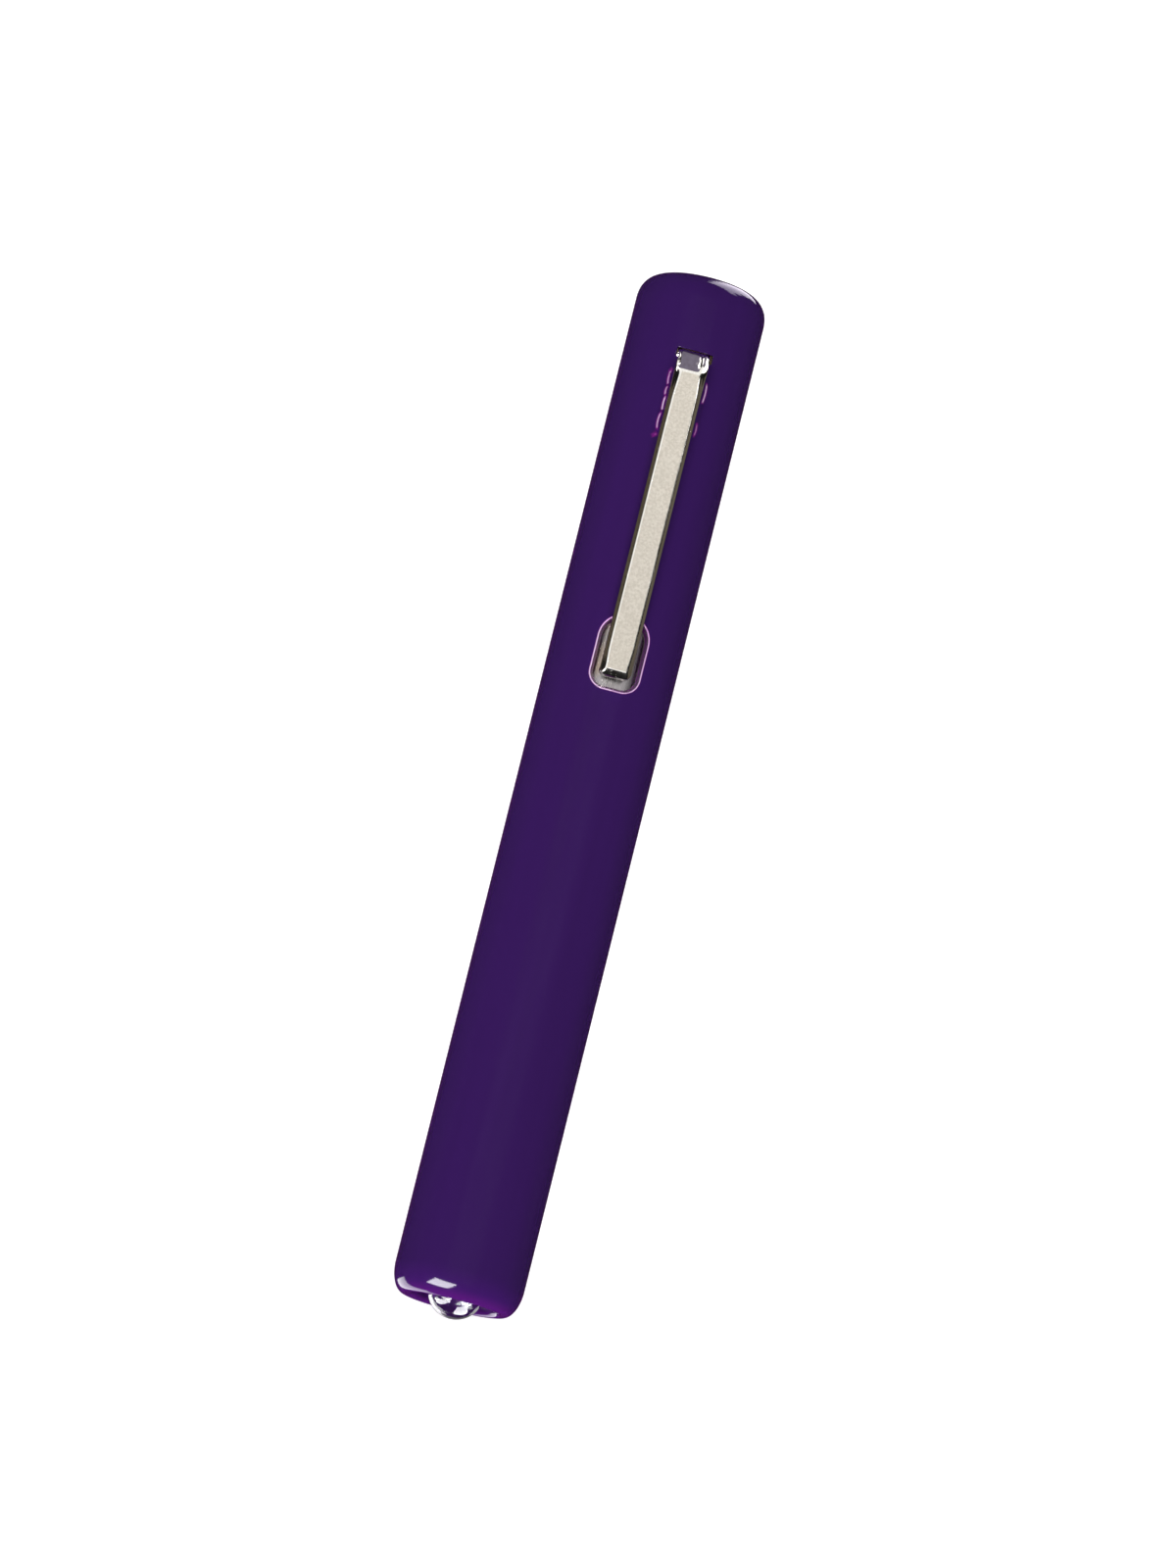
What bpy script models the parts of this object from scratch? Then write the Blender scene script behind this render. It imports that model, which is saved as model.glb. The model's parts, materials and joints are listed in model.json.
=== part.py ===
"""A disposable diagnostic penlight whose pocket clip is its switch.

The barrel lies on its side along Y, lens towards -Y, clip on top.  Every part is modelled in
the barrel's own frame (X across, Y up, Z the station along the barrel, counted from the
closed end) under the empty barrel_axis, which lays it down in the world.
"""

import math

import bmesh
import bpy
from mathutils import Vector

MM = 0.001

# Driving dimensions, in millimetres.
BARREL_RADIUS = 6.75
CASING_LENGTH = 109.2
LENS_PROUD = 1.45
WALL = 1.0
CELL_RADIUS = 5.25
CELL_LENGTH = 44.5
LAMP_RADIUS = 2.96
CLIP_WIDTH = 3.3
CLIP_SHEET = 0.4
CLIP_RISE_AT_BEND = 2.0
CLIP_RISE_AT_TIP = 1.4
FIRST_CELL_STATION = 6.1

# Facets round the barrel, and round the lamp's small parts.
BARREL_SIDES = 32
LAMP_SIDES = 24
FACET = 2 * math.pi / BARREL_SIDES
SHARP_ANGLE = math.radians(35)
TINY = 0.001
MERGE_DISTANCE = 0.000001
ROUND_PROFILE = 0.5
WIRE_BEVEL_STEPS = 2

# Gaps between parts that touch on the real object, and how far a cut runs past a face.
FIT_GAP = 0.05
CONTACT_GAP = 0.06
CUT_MARGIN = 1.0

# The casing.
OVERALL_LENGTH = CASING_LENGTH + LENS_PROUD
BORE_RADIUS = BARREL_RADIUS - WALL
DOME_HEIGHT = 3.55
DOME_EXPONENTS = (3.54, 2.52)
DOME_STEPS = 7
END_WALL = 1.1
SHOULDER_LENGTH = 3.1
CREST_RADIUS = 5.2
SHOULDER_STEPS = 5
MOUTH_RADIUS = 4.6
MOUTH_ROUND = 0.7
MOUTH_STEPS = 3
CASING_BORE_END = 107.2

# The shallow flat along the back, which keeps the light from rolling.
BACK_FLAT_DEPTH = 0.19

# The oval window over the contact strip.
WINDOW_START = 36.7
WINDOW_END = 44.9
WINDOW_WIDTH = 5.5
WINDOW_ARCH_RADIUS = 2.6
WINDOW_FOOT_RADIUS = 1.9
WINDOW_CORNER_STEPS = 5

# The slot that the clip comes out of, and the raised pad over its inner leg.
CLIP_STATION = 9.6
SLOT_MARGIN = 0.15
PAD_START, PAD_END = 10.9, 18.2
PAD_WIDTH = 3.9
PAD_RISE = 0.3
PAD_CORNER = 1.2
PAD_CORNER_STEPS = 3
POCKET_CEILING = 6.2
POCKET_WIDTH = 3.8
POCKET_END = 17.9

# The clip: a bend, a straight arm with turned-down sides, and a turned-down tip.
HINGE_RISE = 0.26
HINGE_HEIGHT = BARREL_RADIUS + HINGE_RISE
CLIP_BEND_RADIUS = 1.5
CLIP_BEND_STEPS = 6
CLIP_TIP_STATION = 43.6
CLIP_FLANGE_DEPTH = 0.85
CLIP_FLANGE_START = 12.4
CLIP_TIP_BOTTOM = 6.45
LEG_HEIGHT = 5.94
LEG_END = 17.5
LEG_TURN = 0.3
LEG_TURN_STEPS = 3
SPLIT_GAP = 0.08

# The sleeve and the metal strips between the cells and the casing.
LINER_INNER = CELL_RADIUS + FIT_GAP
LINER_CARD = 0.12
LINER_OUTER = LINER_INNER + LINER_CARD
LINER_START, LINER_END = 7.0, 93.6
STRIP_RADIUS = LINER_OUTER + FIT_GAP
STRIP_SHEET = 0.22
STRIP_FACETS = 5
STRIP_START, STRIP_END = 34.5, 97.2
STRIP_TAB_RADIUS = 3.5
TONGUE_FACETS = 3
TONGUE_END = 17.2
TONGUE_RISE_START, TONGUE_RISE_END = 2.35, 3.4
TONGUE_RISE_RADIUS = 5.0
TONGUE_FOOT_RADIUS = 4.05
TONGUE_FOOT_STATION = 1.77

# The contact plate and the spring behind the cells.
PLATE_RADIUS = 4.4
PLATE_BACK, PLATE_FRONT = 1.75, 2.0
SPRING_WIRE = 0.28
SPRING_TURNS = 3.5
SPRING_FLAT_TURNS = 0.75
SPRING_RADII = (3.7, 2.5)
SPRING_POINTS_PER_TURN = 14

# A cell, from its flat end.
CAP_RADIUS = 4.3
CAP_SHEET = 0.3
CAN_RADIUS = 5.1
CAN_WALL = 0.3
CAN_START, CAN_END = 0.36, 43.1
MIX_END = 41.6
ROD_RADIUS = 1.5
ROD_START = 1.4
JACKET_SHEET = 0.1
JACKET_LIP = 4.65
JACKET_START, JACKET_END = 0.14, 43.56
BUTTON_RADIUS = 1.9
BUTTON_FLANGE = 3.4
BUTTON_BASE = 43.2
BUTTON_SHEET = 0.25
BUTTON_EDGE = 0.2
SEAL_THICKNESS = 0.4
SEAL_INNER = 3.5
SEAL_OUTER = 4.55

# The lamp, from its solder contact forwards.
LAMP_BACK = FIRST_CELL_STATION + 2 * CELL_LENGTH + 2 * CONTACT_GAP
SOLDER_RADIUS = 1.05
SOLDER_STEM = 0.6
SOLDER_STEPS = 4
INSULATOR_RADIUS = 2.4
INSULATOR_BACK, INSULATOR_FRONT = 95.6, 96.1
SHELL_BACK, SHELL_FRONT = 95.7, 99.8
SHELL_TAIL_RADIUS = 2.8
SHELL_COLLAR_RADIUS = 3.15
FLANGE_RADIUS = 4.3
FLANGE_BACK, FLANGE_FRONT = 97.5, 97.98
GLASS_BACK = 98.2
GLASS_TUBE_RADIUS = 2.88
GLASS_BORE = 2.3
GLASS_NECK_STATION = 106.8
CAVITY_END = 108.0
CAVITY_DOME = 0.9
LENS_STEPS = 7
CAVITY_STEPS = 4
BEAD_STATION = 101.6
BEAD_RADIUS = 1.25
BEAD_HALF_LENGTH = 0.9
BEAD_SIDES, BEAD_RINGS = 16, 10
LEAD_RADIUS = 0.15
LEAD_HOLE_LENGTH = 3.6
LEAD_HOLE_SIDES = 12
LEAD_SPREAD = 0.6
LEAD_TIP_SPREAD = 1.1
LEAD_BACK = 96.7
LEAD_BEND = 103.1
LEAD_TOP = 105.3
FILAMENT_TURNS = 6
FILAMENT_RADIUS = 0.24
FILAMENT_WIRE = 0.05
FILAMENT_POINTS_PER_TURN = 8
FILAMENT_REACH = 0.8
FILAMENT_STATION = 104.96

# The bushing that holds the lamp in the mouth.
BUSHING_BACK = 98.05
BUSHING_SHOULDER = CASING_BORE_END - FIT_GAP
BUSHING_NOSE_RADIUS = MOUTH_RADIUS - FIT_GAP
BUSHING_NOSE_STATION = 108.35
BUSHING_RIM = 0.4
BUSHING_RIM_STATION = 108.1
BUSHING_DISH_RADIUS = 3.56
BUSHING_DISH_STATION = 107.75
BUSHING_BORE = LAMP_RADIUS + 0.1
BUSHING_COUNTERBORE_END = 100.1

# The world height of the barrel's axis: the flat along its back lies on the ground.
AXIS_HEIGHT = BARREL_RADIUS - BACK_FLAT_DEPTH
HALF_LENGTH = OVERALL_LENGTH / 2


# ---- scene, materials and object helpers ----

for old in list(bpy.data.objects):
    bpy.data.objects.remove(old, do_unlink=True)

PARTS = bpy.data.collections.new("penlight")
CUTTERS = bpy.data.collections.new("penlight_cutters")
bpy.context.scene.collection.children.link(PARTS)
bpy.context.scene.collection.children.link(CUTTERS)

barrel_axis = bpy.data.objects.new("barrel_axis", None)
barrel_axis.location = (0, HALF_LENGTH * MM, AXIS_HEIGHT * MM)
barrel_axis.rotation_euler = (math.pi / 2, 0, 0)
PARTS.objects.link(barrel_axis)


def new_material(name, colour, roughness, metallic=0.0, transmission=0.0):
    """A Principled material of one colour."""
    material = bpy.data.materials.new(name)
    material.use_nodes = True
    shader = material.node_tree.nodes["Principled BSDF"]
    shader.inputs["Base Color"].default_value = (*colour, 1)
    shader.inputs["Roughness"].default_value = roughness
    shader.inputs["Metallic"].default_value = metallic
    shader.inputs["Transmission Weight"].default_value = transmission
    return material


VINYL = new_material("violet_vinyl", (0.036, 0.012, 0.095), 0.12)
BUSHING_PLASTIC = new_material("violet_plastic", (0.045, 0.012, 0.12), 0.2)
NICKEL = new_material("satin_nickel", (0.62, 0.57, 0.49), 0.35, metallic=1.0)
TINPLATE = new_material("tinplate", (0.6, 0.59, 0.57), 0.3, metallic=1.0)
BRASS = new_material("brass", (0.72, 0.5, 0.2), 0.3, metallic=1.0)
STEEL = new_material("spring_steel", (0.5, 0.5, 0.5), 0.3, metallic=1.0)
ZINC = new_material("zinc", (0.55, 0.57, 0.6), 0.45, metallic=1.0)
SOLDER = new_material("solder", (0.55, 0.55, 0.56), 0.4, metallic=1.0)
GLASS = new_material("clear_glass", (1, 1, 1), 0.0, transmission=1.0)
TUNGSTEN = new_material("tungsten", (0.2, 0.2, 0.21), 0.5, metallic=1.0)
CARD = new_material("kraft_card", (0.42, 0.3, 0.18), 0.9)
FIBRE = new_material("black_fibre", (0.02, 0.02, 0.02), 0.7)
JACKET = new_material("cell_jacket", (0.05, 0.12, 0.1), 0.3)
BLACK_MIX = new_material("black_mix", (0.015, 0.015, 0.015), 0.9)
CARBON = new_material("carbon", (0.03, 0.03, 0.03), 0.6)


def add_object(name, mesh, material, parent=barrel_axis):
    """Puts a mesh in the parts collection as a named sub-part."""
    part = bpy.data.objects.new(name, mesh)
    PARTS.objects.link(part)
    part.parent = parent
    mesh.materials.append(material)
    return part


def shade(part):
    """Smooths the round faces and keeps the edges sharp."""
    part.data.shade_smooth()
    part.data.set_sharp_from_angle(angle=SHARP_ANGLE)
    return part


def polyline_mesh(name, points, closed):
    """Edges through (radius, station) points, in the XZ plane at +X."""
    mesh = bpy.data.meshes.new(name)
    build = bmesh.new()
    corners = [build.verts.new((x * MM, 0, z * MM)) for x, z in points]
    for first, second in zip(corners, corners[1:]):
        build.edges.new((first, second))
    if closed:
        build.edges.new((corners[-1], corners[0]))
    build.to_mesh(mesh)
    build.free()
    return mesh


def add_screw(part, sides, angle=2 * math.pi):
    """Turns a profile about the barrel's axis."""
    screw = part.modifiers.new("turn", "SCREW")
    screw.axis = "Z"
    screw.angle = angle
    screw.steps = sides
    screw.render_steps = sides
    screw.use_merge_vertices = True
    screw.merge_threshold = MERGE_DISTANCE
    screw.use_smooth_shade = True


def turned(name, points, material, sides=BARREL_SIDES, closed=True):
    """A turned part. A closed profile is a ring; an open one starts and ends on the axis."""
    part = add_object(name, polyline_mesh(name, points, closed), material)
    part.rotation_euler.z = math.pi / sides
    add_screw(part, sides)
    return part


def strip_sector(name, points, facets, sheet, material):
    """A sheet strip that follows the barrel's facets over its top, from its inner face."""
    part = add_object(name, polyline_mesh(name, points, closed=False), material)
    part.rotation_euler.z = math.pi / 2 - facets * FACET / 2
    add_screw(part, facets, facets * FACET)
    thicken = part.modifiers.new("sheet", "SOLIDIFY")
    thicken.thickness = sheet * MM
    thicken.offset = 1.0
    thicken.use_even_offset = True
    return part


def quarter_ellipse(centre, radial, axial, steps, exponents=(2, 2)):
    """Points from (centre + radial, 0) to (centre, axial) along a superellipse's quarter."""
    points = []
    for step in range(steps + 1):
        turn = math.pi / 2 * step / steps
        across = max(math.cos(turn), 0.0) ** (2 / exponents[0])
        along = math.sin(turn) ** (2 / exponents[1])
        points.append((centre + radial * across, axial * along))
    return points


def box_cutter(name, low, high):
    """A box between two corners, in the barrel's frame."""
    mesh = bpy.data.meshes.new(name)
    build = bmesh.new()
    bmesh.ops.create_cube(build, size=1.0)
    low, high = Vector(low) * MM, Vector(high) * MM
    size = high - low
    bmesh.ops.scale(build, vec=size, verts=build.verts)
    bmesh.ops.translate(build, vec=(low + high) / 2, verts=build.verts)
    build.to_mesh(mesh)
    build.free()
    return add_cutter(name, mesh)


def add_cutter(name, mesh):
    """Puts a mesh in the cutters collection, shown as wire and left out of renders."""
    cutter = bpy.data.objects.new(name, mesh)
    CUTTERS.objects.link(cutter)
    cutter.parent = barrel_axis
    cutter.hide_render = True
    cutter.display_type = "WIRE"
    return cutter


def round_upright_corners(cutter, back_radius, front_radius, segments):
    """Rounds a box's four corners seen from above, two at each end of its length."""
    build = bmesh.new()
    build.from_mesh(cutter.data)
    middle = sum(v.co.z for v in build.verts) / len(build.verts)
    uprights = {back_radius: [], front_radius: []}
    for edge in build.edges:
        one, other = (v.co for v in edge.verts)
        if (one - other).xz.length < TINY * MM:
            uprights[back_radius if one.z < middle else front_radius].append(edge)
    for radius, corners in uprights.items():
        bmesh.ops.bevel(
            build,
            geom=corners,
            offset=radius * MM,
            segments=segments,
            profile=ROUND_PROFILE,
            affect="EDGES",
        )
    build.to_mesh(cutter.data)
    build.free()


def boolean(part, tool, operation):
    """Cuts a tool from a part, or joins it on."""
    step = part.modifiers.new(tool.name, "BOOLEAN")
    step.object = tool
    step.operation = operation
    step.solver = "EXACT"


def wire(name, points, radius, material):
    """A round wire through points in the barrel's frame, made a mesh with its caps welded."""
    curve = bpy.data.curves.new(name + "_path", "CURVE")
    curve.dimensions = "3D"
    curve.bevel_depth = radius * MM
    curve.bevel_resolution = WIRE_BEVEL_STEPS
    curve.use_fill_caps = True
    spline = curve.splines.new("POLY")
    spline.points.add(len(points) - 1)
    for knot, point in zip(spline.points, points):
        knot.co = (*(Vector(point) * MM), 1)
    path = bpy.data.objects.new(name + "_path", curve)
    PARTS.objects.link(path)
    path.parent = barrel_axis
    bpy.context.view_layer.update()
    graph = bpy.context.evaluated_depsgraph_get()
    mesh = bpy.data.meshes.new_from_object(path.evaluated_get(graph))
    build = bmesh.new()
    build.from_mesh(mesh)
    bmesh.ops.remove_doubles(build, verts=build.verts, dist=MERGE_DISTANCE)
    bmesh.ops.recalc_face_normals(build, faces=build.faces)
    build.to_mesh(mesh)
    build.free()
    bpy.data.objects.remove(path, do_unlink=True)
    mesh.materials.clear()
    return shade(add_object(name, mesh, material))


def bent_sheet(name, path, width, material, parent=barrel_axis, origin=(0, 0)):
    """A sheet of the clip's thickness through (height, station) points, width across X."""
    mesh = bpy.data.meshes.new(name)
    build = bmesh.new()
    half = width / 2 * MM
    edge_verts = []
    for height, station in path:
        place = (-half, (height - origin[0]) * MM, (station - origin[1]) * MM)
        edge_verts.append(build.verts.new(place))
    edges = [build.edges.new(pair) for pair in zip(edge_verts, edge_verts[1:])]
    grown = bmesh.ops.extrude_edge_only(build, edges=edges)["geom"]
    moved = [item for item in grown if isinstance(item, bmesh.types.BMVert)]
    bmesh.ops.translate(build, vec=(2 * half, 0, 0), verts=moved)
    build.to_mesh(mesh)
    build.free()
    return add_object(name, mesh, material, parent)


def add_sheet_thickness(part):
    """Gives the clip's sheet its thickness, half on each side."""
    thicken = part.modifiers.new("sheet", "SOLIDIFY")
    thicken.thickness = CLIP_SHEET * MM
    thicken.offset = 0.0
    thicken.use_even_offset = True


# ---- the casing ----


def dome(radius, height, base):
    """The closed end's curve from its centre to the straight wall, as (radius, station)."""
    curve = quarter_ellipse(0, radius, height, DOME_STEPS, DOME_EXPONENTS)
    return [(x, base - z) for x, z in reversed(curve)]


def make_casing():
    """The vinyl tube, closed at one end, with a flat back, a clip slot and a window."""
    shoulder_start = CASING_LENGTH - SHOULDER_LENGTH
    shoulder = quarter_ellipse(
        CREST_RADIUS, BARREL_RADIUS - CREST_RADIUS, SHOULDER_LENGTH, SHOULDER_STEPS
    )
    mouth_width = CREST_RADIUS - MOUTH_RADIUS
    mouth = quarter_ellipse(CREST_RADIUS, -mouth_width, MOUTH_ROUND, MOUTH_STEPS)
    outer = dome(BARREL_RADIUS, DOME_HEIGHT, DOME_HEIGHT)
    outer += [(x, shoulder_start + z) for x, z in shoulder]
    lip = [(x, CASING_LENGTH - MOUTH_ROUND + z) for x, z in reversed(mouth)]
    inner = dome(BORE_RADIUS, DOME_HEIGHT - END_WALL, DOME_HEIGHT)
    bore = [(MOUTH_RADIUS, CASING_BORE_END), (BORE_RADIUS, CASING_BORE_END)]
    profile = outer + lip[1:] + bore + list(reversed(inner))
    casing = turned("casing", list(reversed(profile)), VINYL, closed=False)

    back = box_cutter(
        "back",
        (-BARREL_RADIUS, -2 * BARREL_RADIUS, -WALL),
        (BARREL_RADIUS, -AXIS_HEIGHT, CASING_LENGTH + WALL),
    )
    boolean(casing, back, "DIFFERENCE")

    pad = box_cutter(
        "pad",
        (-PAD_WIDTH / 2, POCKET_CEILING, PAD_START),
        (PAD_WIDTH / 2, BARREL_RADIUS + PAD_RISE, PAD_END),
    )
    round_upright_corners(pad, PAD_CORNER, PAD_CORNER, PAD_CORNER_STEPS)
    boolean(casing, pad, "UNION")

    window = box_cutter(
        "window",
        (-WINDOW_WIDTH / 2, CELL_RADIUS - CUT_MARGIN, WINDOW_START),
        (WINDOW_WIDTH / 2, BARREL_RADIUS + CUT_MARGIN, WINDOW_END),
    )
    round_upright_corners(
        window, WINDOW_ARCH_RADIUS, WINDOW_FOOT_RADIUS, WINDOW_CORNER_STEPS
    )
    boolean(casing, window, "DIFFERENCE")

    slot_half = CLIP_SHEET / 2 + SLOT_MARGIN
    slot = box_cutter(
        "slot",
        (-CLIP_WIDTH / 2 - SLOT_MARGIN, CELL_RADIUS, CLIP_STATION - slot_half),
        (CLIP_WIDTH / 2 + SLOT_MARGIN, BARREL_RADIUS + CUT_MARGIN, CLIP_STATION + slot_half),
    )
    boolean(casing, slot, "DIFFERENCE")

    pocket = box_cutter(
        "pocket",
        (-POCKET_WIDTH / 2, CELL_RADIUS - CUT_MARGIN, CLIP_STATION - slot_half),
        (POCKET_WIDTH / 2, POCKET_CEILING, POCKET_END),
    )
    boolean(casing, pocket, "DIFFERENCE")
    return casing


# ---- the clip ----


def make_clip_anchor():
    """The clip's inner leg, which lies under the pad and turns up through the slot."""
    path = [(LEG_HEIGHT, LEG_END)]
    for step in range(LEG_TURN_STEPS + 1):
        angle = math.pi / 2 * step / LEG_TURN_STEPS
        height = LEG_HEIGHT + LEG_TURN * (1 - math.cos(angle))
        path.append((height, CLIP_STATION + LEG_TURN * (1 - math.sin(angle))))
    path.append((HINGE_HEIGHT - SPLIT_GAP / 2, CLIP_STATION))
    anchor = bent_sheet("clip_anchor", path, CLIP_WIDTH, NICKEL)
    add_sheet_thickness(anchor)
    return shade(anchor)


def clip_arm_path():
    """The arm's middle line as (height, station), from above the slot to its tip."""
    bend_centre = CLIP_STATION + CLIP_BEND_RADIUS
    bend_base = BARREL_RADIUS + CLIP_RISE_AT_BEND - CLIP_SHEET / 2 - CLIP_BEND_RADIUS
    path = [(HINGE_HEIGHT + SPLIT_GAP / 2, CLIP_STATION)]
    for step in range(1, CLIP_BEND_STEPS + 1):
        angle = math.pi / 2 * step / CLIP_BEND_STEPS
        height = bend_base + CLIP_BEND_RADIUS * math.sin(angle)
        path.append((height, bend_centre - CLIP_BEND_RADIUS * math.cos(angle)))
    fall = CLIP_RISE_AT_BEND - CLIP_RISE_AT_TIP
    tip_height = path[-1][0] - fall
    tip = (tip_height, CLIP_TIP_STATION - CLIP_SHEET / 2)
    share = (CLIP_FLANGE_START - bend_centre) / (tip[1] - bend_centre)
    path.append((path[-1][0] - fall * share, CLIP_FLANGE_START))
    path.append(tip)
    return path


def make_clip_arm():
    """The springy arm: its sides and its tip are turned down, and the tip is the switch."""
    pivot = bpy.data.objects.new("clip_pivot", None)
    PARTS.objects.link(pivot)
    pivot.parent = barrel_axis
    pivot.location = (0, HINGE_HEIGHT * MM, CLIP_STATION * MM)
    inner_width = CLIP_WIDTH - CLIP_SHEET
    origin = (HINGE_HEIGHT, CLIP_STATION)
    path = clip_arm_path()
    arm = bent_sheet("clip_arm", path, inner_width, NICKEL, pivot, origin)

    build = bmesh.new()
    build.from_mesh(arm.data)
    start = (CLIP_FLANGE_START - origin[1]) * MM
    nudge = TINY * MM
    sides = []
    tip_edges = []
    last = max(v.co.z for v in build.verts)
    for edge in build.edges:
        low = min(v.co.z for v in edge.verts)
        high = max(v.co.z for v in edge.verts)
        if edge.is_boundary and low > start - nudge and high - low > nudge:
            sides.append(edge)
        elif edge.is_boundary and low > last - nudge:
            tip_edges.append(edge)
    depth = (CLIP_FLANGE_DEPTH - CLIP_SHEET / 2) * MM
    grown = bmesh.ops.extrude_edge_only(build, edges=sides)["geom"]
    moved = [item for item in grown if isinstance(item, bmesh.types.BMVert)]
    bmesh.ops.translate(build, vec=(0, -depth, 0), verts=moved)
    tip_depth = (path[-1][0] - CLIP_TIP_BOTTOM) * MM
    grown = bmesh.ops.extrude_edge_only(build, edges=tip_edges)["geom"]
    moved = [item for item in grown if isinstance(item, bmesh.types.BMVert)]
    bmesh.ops.translate(build, vec=(0, -tip_depth, 0), verts=moved)
    build.to_mesh(arm.data)
    build.free()
    add_sheet_thickness(arm)
    return shade(arm)


# ---- the battery side ----


def make_liner():
    """The card sleeve that keeps the cells off the metal strips."""
    profile = [
        (LINER_OUTER, LINER_END),
        (LINER_OUTER, LINER_START),
        (LINER_INNER, LINER_START),
        (LINER_INNER, LINER_END),
    ]
    return turned("liner", profile, CARD)


def make_contact_strip():
    """The strip under the window, which ends in a tab against the lamp's flange."""
    path = [
        (STRIP_TAB_RADIUS, STRIP_END),
        (STRIP_RADIUS, STRIP_END),
        (STRIP_RADIUS, STRIP_START),
    ]
    return strip_sector("contact_strip", path, STRIP_FACETS, STRIP_SHEET, TINPLATE)


def make_end_contact():
    """The plate behind the spring and the tongue that carries current to the clip's leg."""
    profile = [
        (0, PLATE_FRONT),
        (PLATE_RADIUS, PLATE_FRONT),
        (PLATE_RADIUS, PLATE_BACK),
        (0, PLATE_BACK),
    ]
    plate = turned("end_contact", profile, BRASS, closed=False)
    path = [
        (STRIP_RADIUS, TONGUE_END),
        (STRIP_RADIUS, TONGUE_RISE_END),
        (TONGUE_RISE_RADIUS, TONGUE_RISE_START),
        (TONGUE_FOOT_RADIUS, TONGUE_FOOT_STATION),
    ]
    tongue = strip_sector("tongue", path, TONGUE_FACETS, STRIP_SHEET, BRASS)
    PARTS.objects.unlink(tongue)
    CUTTERS.objects.link(tongue)
    tongue.hide_render = True
    tongue.display_type = "WIRE"
    boolean(plate, tongue, "UNION")
    return plate


def make_battery_spring():
    """A conical spring with a flat turn at each end."""
    first = PLATE_FRONT + SPRING_WIRE + FIT_GAP
    last = FIRST_CELL_STATION - SPRING_WIRE - FIT_GAP
    count = int(SPRING_TURNS * SPRING_POINTS_PER_TURN)
    flat = SPRING_FLAT_TURNS / SPRING_TURNS
    points = []
    for step in range(count + 1):
        share = step / count
        climb = min(max((share - flat) / (1 - 2 * flat), 0.0), 1.0)
        radius = SPRING_RADII[0] + (SPRING_RADII[1] - SPRING_RADII[0]) * share
        angle = 2 * math.pi * SPRING_TURNS * share
        station = first + (last - first) * climb
        points.append((radius * math.cos(angle), radius * math.sin(angle), station))
    return wire("battery_spring", points, SPRING_WIRE, STEEL)


def make_cell(number, base):
    """One AAA cell: zinc can, black mix round a carbon rod, seal, end caps and jacket."""
    can_bore = CAN_RADIUS - CAN_WALL
    can_floor = CAN_START + CAN_WALL
    can = [
        (0, can_floor),
        (can_bore, can_floor),
        (can_bore, CAN_END),
        (CAN_RADIUS, CAN_END),
        (CAN_RADIUS, CAN_START),
        (0, CAN_START),
    ]
    mix_radius = can_bore - FIT_GAP
    mix_bore = ROD_RADIUS + FIT_GAP
    mix_floor = can_floor + FIT_GAP
    mix = [
        (mix_radius, MIX_END),
        (mix_radius, mix_floor),
        (mix_bore, mix_floor),
        (mix_bore, MIX_END),
    ]
    rod_end = BUTTON_BASE - FIT_GAP
    rod = [(0, rod_end), (ROD_RADIUS, rod_end), (ROD_RADIUS, ROD_START), (0, ROD_START)]
    jacket_inner = CELL_RADIUS - JACKET_SHEET
    jacket = [
        (CELL_RADIUS, JACKET_END),
        (CELL_RADIUS, JACKET_START),
        (JACKET_LIP, JACKET_START),
        (JACKET_LIP, JACKET_START + JACKET_SHEET),
        (jacket_inner, JACKET_START + JACKET_SHEET),
        (jacket_inner, JACKET_END - JACKET_SHEET),
        (JACKET_LIP, JACKET_END - JACKET_SHEET),
        (JACKET_LIP, JACKET_END),
    ]
    flat_cap = [(0, CAP_SHEET), (CAP_RADIUS, CAP_SHEET), (CAP_RADIUS, 0), (0, 0)]
    button_flange_top = BUTTON_BASE + BUTTON_SHEET
    button = [
        (0, CELL_LENGTH),
        (BUTTON_RADIUS - BUTTON_EDGE, CELL_LENGTH),
        (BUTTON_RADIUS, CELL_LENGTH - BUTTON_EDGE),
        (BUTTON_RADIUS, button_flange_top),
        (BUTTON_FLANGE, button_flange_top),
        (BUTTON_FLANGE, BUTTON_BASE),
        (0, BUTTON_BASE),
    ]
    seal_top = BUTTON_BASE + SEAL_THICKNESS
    seal = [
        (SEAL_OUTER, seal_top),
        (SEAL_OUTER, BUTTON_BASE),
        (SEAL_INNER, BUTTON_BASE),
        (SEAL_INNER, seal_top),
    ]
    pieces = (
        ("can", can, ZINC, False),
        ("mix", mix, BLACK_MIX, True),
        ("carbon_rod", rod, CARBON, False),
        ("jacket", jacket, JACKET, True),
        ("flat_cap", flat_cap, TINPLATE, False),
        ("button_cap", button, TINPLATE, False),
        ("seal", seal, FIBRE, True),
    )
    for name, profile, material, closed in pieces:
        placed = [(x, base + z) for x, z in profile]
        turned(f"cell_{number}_{name}", placed, material, closed=closed)


# ---- the lamp side ----


def make_lamp_globe():
    """The lens-ended glass, open at the back."""
    lens_centre = OVERALL_LENGTH - LAMP_RADIUS
    lens = quarter_ellipse(0, LAMP_RADIUS, LAMP_RADIUS, LENS_STEPS)
    outer = [(x, lens_centre + z) for x, z in reversed(lens)]
    outer += [(GLASS_TUBE_RADIUS, GLASS_NECK_STATION), (GLASS_TUBE_RADIUS, GLASS_BACK)]
    cavity = quarter_ellipse(0, GLASS_BORE, CAVITY_DOME, CAVITY_STEPS)
    inner = [(GLASS_BORE, GLASS_BACK)]
    inner += [(x, CAVITY_END - CAVITY_DOME + z) for x, z in cavity]
    return turned("lamp_globe", outer + inner, GLASS, LAMP_SIDES, closed=False)


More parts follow.
